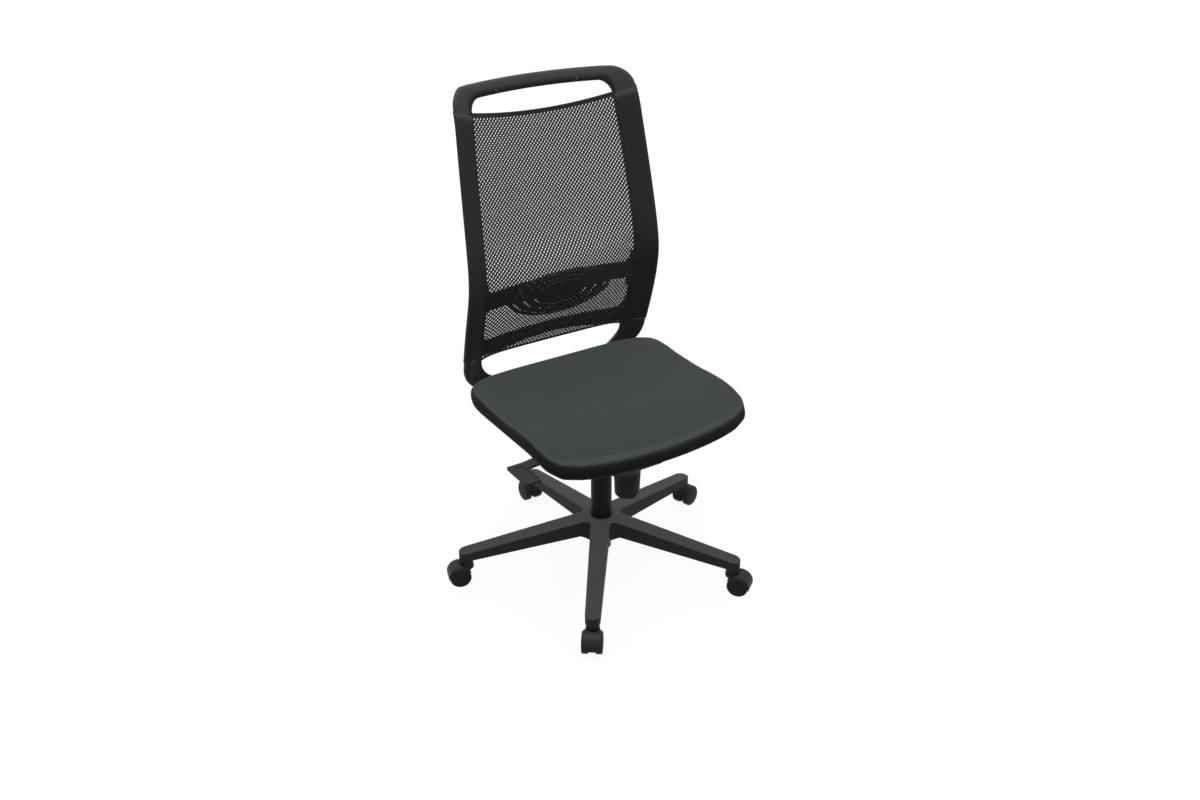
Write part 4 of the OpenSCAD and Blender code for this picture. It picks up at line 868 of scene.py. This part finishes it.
@dataclass
class Backrest:
    """The frame with its handle, the knitted sleeves and the net between the rails."""

    shape: BackShape
    bar: CrossBar = CrossBar()
    handle_bars: int = 10
    handle_turns: int = 14
    rail_steps: int = 40
    low_turns: int = 16
    low_bars: int = 6
    cell: tuple[float, float] = (9.5, 10.2)
    slit: tuple[float, float] = (0.32, 0.7)
    net_flat: tuple[float, float] = (0.40, 0.57)
    net_area: float = 0.21
    sleeve_flat: tuple[float, float] = (0.075, 0.56)
    sleeve_area: float = 0.038
    net_depth: float = 1.0
    net_crown: float = 17.0
    net_short: float = 2.0
    net_trim: float = 8.0
    low_lift: float = 4.5
    low_dip: float = 10.5
    hem: float = 7.0
    hem_low: float = 3.5
    hem_steps: int = 24
    hem_tuck: float = 1.5
    tuck: float = 2.5
    joint_at: float = 6.42
    stitches: int = 84
    stitch_share: float = 0.87
    sleeve_proud: float = 0.7

    def build(self) -> None:
        """Make every piece of the backrest and dress its CAD nodes."""
        made = [self._frame(), self._crossbar(), self._bar_seam(), self._dark_band(), *self._joint_lines()]
        for side in Side:
            made += [self._sleeve(side), self._stitches(side), self._sleeve_end(side)]
        net, hems = self._net(), [self._hem(True), self._hem(False)]
        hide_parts("mesh_panel")
        made += [net, *hems]
        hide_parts("back_frame")
        for thing in made:
            log.info("back: %s", thing.name)
        dress(["back_bracket", "lumbar_tracks"], FRAME_NYLON)
        dress(["link_pin", "bracket_bolts"], BRIGHT_STEEL)

    # Stations down the frame's half: outer x and z, inner x and z, depth, bevel

    def _handle(self) -> list[Station]:
        """Lay the stations of the handle and its corner.

        Returns:
            The stations, from the middle outwards.
        """
        b = self.shape
        w, wi = b.outer(b.top - b.corner_out), b.inner(b.top - b.handle_bar - b.corner_in)
        zi, flat_out, flat_in = b.top - b.handle_bar, w - b.corner_out, wi - b.corner_in
        rows: list[Station] = []
        for i in range(self.handle_bars):
            s = i / self.handle_bars
            lift = b.crown * (1 - s * s) - b.crown
            rows.append((s * flat_out, b.top + lift, s * flat_in, zi + lift, b.handle_depth,
                         b.handle_bevel))
        for i in range(self.handle_turns):
            s = i / self.handle_turns
            a = 90 - 90 * s
            rows.append((flat_out + b.corner_out * cosd(a),
                         b.top - b.crown - b.corner_out * (1 - sind(a)),
                         flat_in + b.corner_in * cosd(a), zi - b.crown - b.corner_in * (1 - sind(a)),
                         b.handle_depth + (b.depth - b.handle_depth) * s,
                         b.handle_bevel + (b.rail_bevel - b.handle_bevel) * s))
        return rows

    def _rail(self) -> list[Station]:
        """Lay the stations of a rail between its two seams.

        Returns:
            The stations, from the upper seam down.
        """
        b = self.shape
        z1, z0 = b.top - b.crown - b.corner_out, b.seam_low + b.seam_rise[0]
        i1, i0 = b.top - b.handle_bar - b.crown - b.corner_in, b.seam_low + b.seam_rise[1]
        rows: list[Station] = []
        for i in range(self.rail_steps + 1):
            s = i / self.rail_steps
            zo, zi = z1 + (z0 - z1) * s, i1 + (i0 - i1) * s
            rows.append((b.outer(zo), zo, b.inner(zi), zi, b.depth, b.rail_bevel))
        return rows

    def _low(self) -> list[Station]:
        """Lay the stations round the lower corner and in to the middle.

        Returns:
            The stations, from the lower seam on.
        """
        b = self.shape
        z0, i0 = b.side_low + b.low_rise[0], b.side_low + b.low_rise[1]
        w, wi = b.outer(z0), b.inner(i0)
        (rx, ix), rz, iz = b.low_run, z0 - b.bottom, i0 - b.bottom - b.rim_low
        rows: list[Station] = []
        for i in range(self.low_turns + 1):
            a = 90 * i / self.low_turns
            rows.append((w - rx + rx * cosd(a), z0 - rz * sind(a), wi - ix + ix * cosd(a),
                         i0 - iz * sind(a), b.depth, b.rail_bevel))
        for i in range(1, self.low_bars + 1):
            s = 1 - i / self.low_bars
            rows.append((s * (w - rx), b.bottom, s * (wi - ix), b.bottom + b.rim_low, b.depth,
                         b.rail_bevel))
        return rows

    @staticmethod
    def _section(bevel: float) -> list[tuple[float, float]]:
        """Draw the outline of the frame's section.

        Args:
            bevel: Share of the rail's width that its inner front edge slopes away over.

        Returns:
            Points as shares across the rail and shares of its depth.
        """
        return [(0, 0.4), (0.015, 0.2), (0.06, 0.07), (0.13, 0.015), (0.2, 0), (0.4 - bevel / 4, 0),
                (0.6 - bevel / 2, 0), (0.985 - bevel, 0), (1.0 - bevel * 0.97, bevel * 0.06),
                (1, 0.94 * bevel), (1, 0.12 + bevel), (0.998, 0.25 + bevel), (0.93, 0.63 + bevel / 3),
                (0.86, 0.94), (0.83, 0.98), (0.75, 1), (0.4, 1), (0.12, 1), (0.06, 0.96), (0.01, 0.8),
                (0, 0.6)]

    def _spot(self, station: Station, share: tuple[float, float], sign: int,
              proud: float = 0) -> Point:
        """Point of the frame's skin.

        Args:
            station: A station of the half frame.
            share: Share across the rail and share of its depth.
            sign: Sign of X.
            proud: How far the point stands in front of the skin.

        Returns:
            The point in millimetres.
        """
        x = station[0] + (station[2] - station[0]) * share[0]
        z = station[1] + (station[3] - station[1]) * share[0]
        y = self.shape.front(x, z) + share[1] * station[4] - proud
        return sign * x, y, z + self.shape.seat_base

    def _ring(self, station: Station, sign: int) -> Ring:
        """Section of the frame at a station, on one side."""
        return [self._spot(station, share, sign) for share in self._section(station[5])]

    def _frame(self) -> bpy.types.Object:
        """Make the closed loop, from the handle down to the hidden lower bow.

        Returns:
            The new piece.
        """
        half = self._handle() + self._rail() + self._low()
        rings = [self._ring(s, 1) for s in half] + [self._ring(s, -1) for s in half[-2:0:-1]]
        return piece("back_loop", *lofted(rings, closed=True), "back", FRAME_NYLON, "frame_plastic", 50)

    def _bar_edges(self, u: float) -> tuple[float, float]:
        """Find the cross-bar's two edges.

        Args:
            u: Share across the bar, from -1 to 1.

        Returns:
            Its lower and its upper height.
        """
        b, bar = self.shape, self.bar
        away = max(0.0, b.inner(bar.z) - abs(u) * bar.reach(b))
        fillet = bar.fillet - math.sqrt(max(0, bar.fillet ** 2 - max(0, bar.fillet - away) ** 2))
        low = bar.slot_top - bar.slot * min(1, (u / bar.slot_half) ** 2)
        return low, bar.z + bar.rise * (1 - u * u) + fillet

    def _bar_point(self, u: float, z: float, share: float, proud: float = 0) -> Point:
        """Find a point of the cross-bar.

        Args:
            u: Share across the bar, from -1 to 1.
            z: Height.
            share: Share of the bar's depth.
            proud: How far the point stands in front of the bar.

        Returns:
            The point in millimetres.
        """
        b, bar = self.shape, self.bar
        y = b.front(b.inner(z), z) + b.gap + bar.bow * (1 - u * u) + share * bar.depth - proud
        return u * bar.reach(b), y, z + b.seat_base

    def _bar_places(self) -> list[float]:
        """Shares from -1 to 1 across the cross-bar, closer together near its ends."""
        evenly = [i / self.bar.steps - 1 for i in range(2 * self.bar.steps + 1)]
        return [math.copysign(1 - (1 - abs(s)) ** self.bar.crowding, s) for s in evenly]

    def _crossbar(self) -> bpy.types.Object:
        """Make the bar between the rails behind the net's lower edge, with its rounded inner corners.

        Returns:
            The new piece.
        """
        rings = []
        for u in self._bar_places():
            z0, z1 = self._bar_edges(u)
            low, high = z0 + self.bar.ease, z1 - self.bar.ease
            outline = [(0.9, z0), (1, low), (1, high), (0.9, z1), (0.1, z1), (0, high),
                       (0, (z0 + z1) / 2), (0, low), (0.1, z0)]
            rings.append([self._bar_point(u, h, p) for p, h in outline])
        return piece("crossbar", *lofted(rings), "back", BAR_NYLON, "frame_plastic", 35)

    def _bar_seam(self) -> bpy.types.Object:
        """Lay the fine welt along the cross-bar's front, parallel to its upper edge."""
        line = [self._bar_point(u, self._bar_edges(u)[1] - self.bar.seam_in, 0, 0.15)
                for u in self._bar_places()]
        return corded("crossbar_welt", line, 0.8, "back", SEAM_THREAD_AND_PAINTED_HIGHLIGHT, "frame_plastic")

    def _dark_band(self) -> bpy.types.Object:
        """Make the dark band along the handle's lower front edge.

        Returns:
            The new piece.
        """
        half = self._handle() + self._rail()[:1]
        chain = [(s, -1) for s in half[::-1]] + [(s, 1) for s in half[1:]]
        rows = []
        for station, sign in chain:
            bevel = station[5]
            shares = [(1 - bevel, 0), (1 - bevel / 2, bevel / 2), (1, bevel), (1, 0.2 + bevel)]
            rows.append([self._spot(station, share, sign, 0.35) for share in shares])
        thing = piece("handle_dark_band", *strip(rows), "back", HANDLE_DARK_BAND, "frame_plastic", 60)
        thickened(thing, 0.3)
        return thing

    def _joint_lines(self) -> list[bpy.types.Object]:
        """Make the two fine joints across the handle's dark band.

        Returns:
            The right and the left joint.
        """
        made = []
        rows = self._handle()
        for side in Side:
            pair = []
            for shift in (-0.06, 0.06):
                mid = self._between(rows, self.joint_at + shift)
                bevel = mid[5]
                shares = [(1 - bevel * 0.8, bevel * 0.2), (1 - bevel / 2, bevel / 2), (1, bevel),
                          (1, 0.2 + bevel)]
                pair.append([self._spot(mid, share, side.value, 0.6) for share in shares])
            thing = piece(f"handle_joint_{side.name.lower()}", *strip(pair, side is Side.RIGHT), "back",
                          JOINT_LINE, "frame_plastic", 60)
            thickened(thing, 0.4)
            made.append(thing)
        return made

    def _sleeve(self, side: Side) -> bpy.types.Object:
        """Make the knitted sleeve round one rail's front and outer edge.

        Args:
            side: The rail's side.

        Returns:
            The new piece.
        """
        shares = [(0.955, 0), (0.93, 0), (0.55, 0), (0.2, 0), (0.13, 0.015), (0.06, 0.07), (0.015, 0.2),
                  (0, 0.4), (0, 0.6), (0.01, 0.8)]
        pushes = [(0, 0.5), (0, 1), (0, 1), (0.3, 0.95), (0.45, 0.9), (0.7, 0.7), (0.95, 0.3),
                  (1, 0), (1, 0), (1, -0.25)]
        proud = self.shape.gap + self.sleeve_proud
        rows = []
        for station in self._rail():
            spots = [self._spot(station, share, side.value, ahead * proud)
                     for share, (_, ahead) in zip(shares, pushes)]
            rows.append([(x + side.value * out * proud, y, z)
                         for (x, y, z), (out, _) in zip(spots, pushes)])
        thing = piece(f"rail_sleeve_{side.name.lower()}", *strip(rows, side is Side.RIGHT), "back",
                      SLEEVE_KNIT, "sleeve_fabric", 60)
        thickened(thing, self.sleeve_proud - 0.1)
        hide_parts(f"sleeve_{side.name.lower()}")
        return thing

    def _stitches(self, side: Side) -> bpy.types.Object:
        """Sew the row of stitches down the sleeve, near the net.

        Args:
            side: The rail's side.

        Returns:
            All the row's stitches as one piece.
        """
        stations = self._rail()
        points: list[Point] = []
        faces: list[list[int]] = []
        for k in range(self.stitches):
            place = 1 + (len(stations) - 3) * k / (self.stitches - 1)
            rings = []
            for along, r in ((-0.12, 0.08), (-0.09, 0.35), (0.09, 0.35), (0.12, 0.08)):
                x, y, z = self._spot(self._between(stations, place + along), (self.stitch_share, 0),
                                     side.value, self.shape.gap + self.sleeve_proud + 0.15)
                rings.append([(x + r * cosd(60 * j), y + r * sind(60 * j) * 0.7, z) for j in range(6)])
            spots, skins = lofted(rings)
            faces += [[number + len(points) for number in skin] for skin in skins]
            points += spots
        return piece(f"sleeve_stitches_{side.name.lower()}", points, faces, "back",
                     SEAM_THREAD_AND_PAINTED_HIGHLIGHT, "sleeve_fabric", 60)

    @staticmethod
    def _between(stations: list[Station], place: float) -> Station:
        """Station at a fractional place in a list of them."""
        i = int(clamp(place, 0, len(stations) - 2))
        return tuple(p + (q - p) * (place - i) for p, q in zip(stations[i], stations[i + 1]))

    def _sleeve_end(self, side: Side) -> bpy.types.Object:
        """Lay the fine pale cord across a rail, along the lower end of its sleeve, as a painted
        highlight.

        Args:
            side: The rail's side.

        Returns:
            The new piece.
        """
        station = self._rail()[-1]
        line = [self._spot(station, (share, 0), side.value, self.shape.gap + self.sleeve_proud)
                for share in (0.95, 0.7, 0.5, 0.3, 0.15)]
        line += [self._spot(station, share, side.value, 0.6) for share in ((0.06, 0.07), (0.015, 0.2))]
        # The cord's pale thread is a painted highlight on the sleeve's lower edge.
        return corded(f"sleeve_end_painted_highlight_{side.name.lower()}", line, 0.75, "back", SEAM_THREAD_AND_PAINTED_HIGHLIGHT,
                      "sleeve_fabric")

    def _net_span(self, c: float) -> tuple[float, float]:
        """Find the net's lower and upper edge.

        Args:
            c: Share across the net, from -1 to 1.

        Returns:
            Its lowest and its highest height.
        """
        b = self.shape
        high = b.seam_top - self.net_crown * (1 - c * c) - self.hem - self.net_short
        low = b.seam_low + self.low_lift - self.low_dip * c ** 8 + self.hem_low
        return low, high

    def _net_point(self, u: float, v: float, proud: float) -> Point:
        """Find a point of the net.

        Args:
            u: Share across the net, from 0 to 1.
            v: Share of the way up it.
            proud: How far the point stands in front of the net.

        Returns:
            The point in millimetres.
        """
        b = self.shape
        c = 2 * u - 1
        low, high = self._net_span(clamp(c, -1, 1))
        z = low + (high - low) * v
        x = c * (b.inner(z) + self.tuck)
        return x, b.net(x, z) - b.net_gap - proud, z + b.seat_base

    def _net(self) -> bpy.types.Object:
        """Weave the diamond net, each of its holes cut open.

        Returns:
            The new piece.
        """
        b = self.shape
        height = b.seam_top - b.seam_low - 2 * self.hem - self.net_trim
        columns, rows = round(2 * b.opening / self.cell[0]), round(height / self.cell[1])
        net = NetWeave(columns, rows, self.slit)
        points = [self._net_point(u / columns, v / rows, proud * self.net_depth)
                  for u, v, proud in net.spots]
        thing = piece("back_net", points, net.faces, "back", NET_YARN, "mesh_fabric", 80)
        thickened(thing, self.net_depth * 0.8)
        return thing

    def _hem(self, upper: bool) -> bpy.types.Object:
        """Fold the hem at the net's upper or lower edge.

        Args:
            upper: Whether it is the upper hem.

        Returns:
            The new piece.
        """
        b = self.shape
        rings = []
        for i in range(2 * self.hem_steps + 1):
            c = i / self.hem_steps - 1
            low, high = self._net_span(c)
            edge, outward, wide = (high, 1, self.hem) if upper else (low, -1, self.hem_low)
            x = c * (b.inner(edge) + self.hem_tuck)
            outline = [(-0.6, -1.0), (-0.2, -1.5), (wide / 2, -1.6), (wide - 0.8, -1.5), (wide, -0.6),
                       (wide - 0.4, 0.3), (wide / 2, 0.4), (-0.6, 0.2)]
            ring = []
            for up, ahead in outline:
                z = edge + outward * up
                y = b.net(clamp(x, -b.inner(z), b.inner(z)), z) - b.net_gap + ahead
                ring.append((x, y, z + b.seat_base))
            rings.append(ring if upper else ring[::-1])
        points, faces = lofted(rings)
        faces = [face[::-1] for face in faces]
        return piece("hem_upper" if upper else "hem_lower", points, faces, "back", HEM_TAPE,
                     "mesh_fabric", 50)


class NetWeave:
    """Points and faces of a diamond net on a grid of whole cells.

    Each hole is a rounded diamond. Holes stand at the middle of every cell and at every inner
    corner of the grid, so that they lie in staggered rows.
    """

    AROUND = 8
    RING = ((0.5, 0), (0.25, 0.25), (0, 0.5), (-0.25, 0.25),
            (-0.5, 0), (-0.25, -0.25), (0, -0.5), (0.25, -0.25))
    RIM = ((0.4, 0.4), (0, 0.5), (-0.4, 0.4), (-0.5, 0),
           (-0.4, -0.4), (0, -0.5), (0.4, -0.4), (0.5, 0))
    KNOT = 1.0
    STRAND = 0.75
    HOLE = 0.5

    def __init__(self, columns: int, rows: int, slit: tuple[float, float]) -> None:
        """Lay the net out; its spots hold cells across, cells up and how proud a point stands.

        Args:
            columns: Number of cells across.
            rows: Number of cells up.
            slit: Width and length of a hole as shares of the pitch across and along its strands.
        """
        self.numbers: dict[tuple[int, int, int], int] = {}
        self.spots: list[tuple[float, float, float]] = []
        self.faces: list[list[int]] = []
        self.slit = slit
        self.size = (columns, rows)
        for i in range(columns):
            for j in range(rows):
                self._hole(i + 0.5, j + 0.5)
        for i in range(columns + 1):
            for j in range(rows + 1):
                if 0 < i < columns and 0 < j < rows:
                    self._hole(i, j)
                else:
                    self._edge(i, j)

    def _number(self, u: float, v: float, proud: float) -> int:
        """Number a point, which is made where it is new.

        Args:
            u: Cells across.
            v: Cells up.
            proud: How proud it stands, from 0 to 1.

        Returns:
            The point's number.
        """
        key = (round(u * 1000), round(v * 1000), round(proud * 100))
        if key not in self.numbers:
            self.numbers[key] = len(self.spots)
            self.spots.append((u, v, proud))
        return self.numbers[key]

    def _hole(self, u: float, v: float) -> None:
        """Add the strands round one hole.

        Args:
            u: The hole's middle in cells across.
            v: The hole's middle in cells up.
        """
        wide, long = self.slit
        rim = [((s * wide + t * long) / 2, (t * long - s * wide) / 2) for s, t in self.RIM]
        crest = [self._number(u + x, v + y, self.STRAND if k % 2 else self.KNOT)
                 for k, (x, y) in enumerate(self.RING)]
        edge = [self._number(u + x, v + y, self.HOLE) for x, y in rim]
        for k in range(self.AROUND):
            m = (k + 1) % self.AROUND
            self.faces.append([crest[k], crest[m], edge[m], edge[k]])

    def _edge(self, i: int, j: int) -> None:
        """Fill the half hole at the border of the grid.

        Args:
            i: The hole's column.
            j: The hole's row.
        """
        columns, rows = self.size
        ring = self.RING
        inside = [(x, y) for x, y in ring if 0 <= i + x <= columns and 0 <= j + y <= rows]
        if len(inside) < 3:
            return
        start = next((k for k, p in enumerate(ring) if p in inside and ring[k - 1] not in inside), 0)
        turned = ring[start:] + ring[:start]
        spots = [self._number(i + x, j + y, self.STRAND if x and y else self.KNOT)
                 for x, y in turned if (x, y) in inside]
        if 0 < i < columns or 0 < j < rows:
            self.faces.append(spots)
        else:
            self.faces.append([self._number(i, j, self.KNOT), *spots])


# Pieces that keep their CAD shape


def dress(nodes: Sequence[str], finish: Finish, crease: float = 32.0) -> None:
    """Give CAD nodes a finish and smooth shading.

    Args:
        nodes: Names of the CAD nodes.
        finish: The finish that dresses them.
        crease: Angle in degrees from which an edge stays sharp.
    """
    for name in nodes:
        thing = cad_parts[name]
        thing.data.materials.clear()
        thing.data.materials.append(finish.material())
        shade(thing.data, crease)
        log.info("dressed: %s, %s", name, finish.name)


@dataclass(frozen=True)
class Undercarriage:
    """The star base, its column and its five casters."""

    casters: int = 5

    def build(self) -> None:
        """Dress the base, the column and the casters."""
        dress(["base_star"], BASE_NYLON)
        dress(["column_tube", "gas_cylinder"], COLUMN_PAINT)
        dress(["guide_bush"], BUSH_PLASTIC)
        dress(["piston_rod", "retaining_clip", "thrust_bearing", "valve_button"], BRIGHT_STEEL)
        for k in range(1, self.casters + 1):
            dress([f"caster_hood_{k}"], HOOD_NYLON)
            dress([f"wheel_left_{k}", f"wheel_right_{k}"], WHEEL_NYLON)
            dress([f"caster_stem_{k}", f"caster_axle_{k}"], BRIGHT_STEEL)


@dataclass(frozen=True)
class Mechanism:
    """The tilt mechanism under the seat, with its knob and levers."""

    def build(self) -> None:
        """Dress the housing, the pins, the spring and the controls."""
        dress(["mechanism_housing", "spring_plate"], PLATE_PAINT)
        dress(["front_pivot_pin", "rear_pivot_pin", "lever_pins", "tension_bolt", "tension_spring"],
              BRIGHT_STEEL)
        dress(["tension_knob"], KNOB_RUBBER)
        dress(["height_lever", "lock_lever"], LEVER_NYLON)


@dataclass
class Lumbar:
    """The lumbar bar with its slotted oval pad."""

    shape: BackShape
    z: float = 223
    clip_half: float = 25
    pad_back: float = 13
    length: float = 278
    height: float = 116
    bow: float = 5
    half_bar: float = 188
    rims: tuple[float, ...] = (0.985, 0.9, 0.71, 0.52)
    rim_r: float = 0.9
    rim_points: int = 96
    sunk: float = 0.2

    def build(self) -> None:
        """Dress the pad and its clips, and lay the fine raised rims on the pad in a near-white painted
        highlight.
        """
        dress(["lumbar_pad", "lumbar_clip_left", "lumbar_clip_right"], LUMBAR_PLASTIC)
        for number, share in enumerate(self.rims, 1):
            line = [self._front(360 * i / self.rim_points, share) for i in range(self.rim_points)]
            # The rims' near-white finish is a painted highlight.
            rim = corded(f"lumbar_rim_{number}", line, self.rim_r, "lumbar", LUMBAR_RIM_PAINTED_HIGHLIGHT,
                         "lumbar_plastic", closed=True)
            log.info("lumbar: %s", rim.name)

    def _front(self, angle: float, share: float) -> Point:
        """Find a point on the pad's front.

        Args:
            angle: Angle round the oval in degrees.
            share: Share of the oval's size.

        Returns:
            The point in millimetres.
        """
        b = self.shape
        lean = math.atan2(b.rail_y(self.z - self.clip_half) - b.rail_y(self.z + self.clip_half),
                          2 * self.clip_half)
        x, z = self.length / 2 * share * cosd(angle), self.height / 2 * share * sind(angle)
        shell = (self.half_bar ** 2 + self.bow ** 2) / (2 * self.bow)
        y = shell - math.sqrt(shell ** 2 - x * x) - self.sunk
        return (x, b.net(0, self.z) + self.pad_back + y * math.cos(lean) - z * math.sin(lean),
                b.seat_base + self.z + y * math.sin(lean) + z * math.cos(lean))


# Studio


@dataclass
class Studio:
    """The pale floor, the soft light and the photograph's camera."""

    azimuth: float = -32.71
    elevation: float = 27.55
    distance: float = 2873.9
    aim: Point = (0, 5.75, 445.4)
    focal_px: float = 1242.94
    floor_r: float = 30.0
    sky: float = 0.176

    def build(self) -> None:
        """Set the view transform and make the camera, lights, world and floor."""
        scene = bpy.context.scene
        scene.view_settings.view_transform = "Standard"
        self._camera()
        self._world()
        self._lights()
        self._floor()
        log.info("studio ready")

    def _camera(self) -> None:
        """Stand the camera where the photograph was taken from."""
        data = bpy.data.cameras.new("view")
        data.sensor_width = 36
        data.lens = self.focal_px * data.sensor_width / IMAGE_W
        data.clip_start, data.clip_end = 0.05, 100
        camera = bpy.data.objects.new("view", data)
        bpy.context.scene.collection.objects.link(camera)
        level = cosd(self.elevation)
        back = Vector((sind(self.azimuth) * level, -cosd(self.azimuth) * level, sind(self.elevation)))
        camera.location = (Vector(self.aim) + back * self.distance) * MM
        camera.rotation_euler = (-back).to_track_quat("-Z", "Y").to_euler()
        bpy.context.scene.camera = camera

    def _world(self) -> None:
        """Make a world that is white to the eye and a soft grey as a light."""
        world = bpy.data.worlds.new("studio")
        world.use_nodes = True
        bpy.context.scene.world = world
        world.node_tree.nodes.clear()
        desk = NodeDesk(world.node_tree)
        level = desk.add("ShaderNodeMapRange", sockets={
            "Value": desk.seen(), "To Min": self.sky, "To Max": 1.0})
        light = desk.add("ShaderNodeBackground", sockets={"Color": (1, 1, 1, 1), "Strength": level})
        out = desk.add("ShaderNodeOutputWorld", output=None).socket
        desk.put(out.inputs["Surface"], light)

    def _lights(self) -> None:
        """Hang a wide soft light overhead, and a weak one on the camera's side."""
        self._sun("overhead", (0, 0, 1), 2.4, 0.6)
        self._sun("front", (-0.45, -1.0, 0.55), 0.08, 0.9)

    @staticmethod
    def _sun(name: str, towards: Point, strength: float, spread: float) -> None:
        """Add a distant light that casts no shadow.

        Args:
            name: Its name.
            towards: Direction from the object to the light.
            strength: Its irradiance.
            spread: Its angular size in radians.
        """
        data = bpy.data.lights.new(name, "SUN")
        data.energy, data.angle, data.use_shadow = strength, spread, False
        lamp = bpy.data.objects.new(name, data)
        lamp.rotation_euler = Vector(towards).to_track_quat("Z", "Y").to_euler()
        bpy.context.scene.collection.objects.link(lamp)

    def _floor(self) -> None:
        """Lay the pale disc that shows the chair's soft shadow."""
        bpy.ops.mesh.primitive_circle_add(vertices=96, radius=self.floor_r, fill_type="NGON",
                                          location=(0, 0, -0.0005))
        floor = bpy.context.object
        floor.name = "studio_floor"
        desk = ShaderDesk("studio_floor")
        cloud = desk.noise(900, 2)
        desk.dress(Base_Color=desk.mix(cloud, (236, 236, 236), (240, 240, 240)), Roughness=0.9)
        dark = desk.add("ShaderNodeBsdfDiffuse", sockets={"Color": linear((80, 80, 80))})
        lift = desk.add("ShaderNodeEmission", sockets={"Strength": 0.22})
        plain = Signal(desk, desk.shader.outputs[0])
        pale = desk.add("ShaderNodeAddShader", sockets={0: plain, 1: lift})
        both = desk.add("ShaderNodeMixShader", sockets={0: desk.seen(), 1: dark, 2: pale})
        desk.put(desk.tree.nodes["Material Output"].inputs["Surface"], both)
        floor.data.materials.append(desk.material)


def seat_base() -> float:
    """Height of the seat's base over the floor, in millimetres, from the seat plate's box."""
    plate_gap = 0.2
    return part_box("seat_plate")[1].z / MM + plate_gap


def main() -> None:
    """Build the chair's looks in order."""
    logging.basicConfig(level=logging.INFO, format="%(name)s %(message)s")
    shape = BackShape(seat_base=seat_base())
    log.info("seat base at %.1f mm", shape.seat_base)
    for assembly in (Studio(), Undercarriage(), Mechanism(), Seat(), Backrest(shape), Lumbar(shape)):
        assembly.build()


if __name__ == "__main__":
    main()
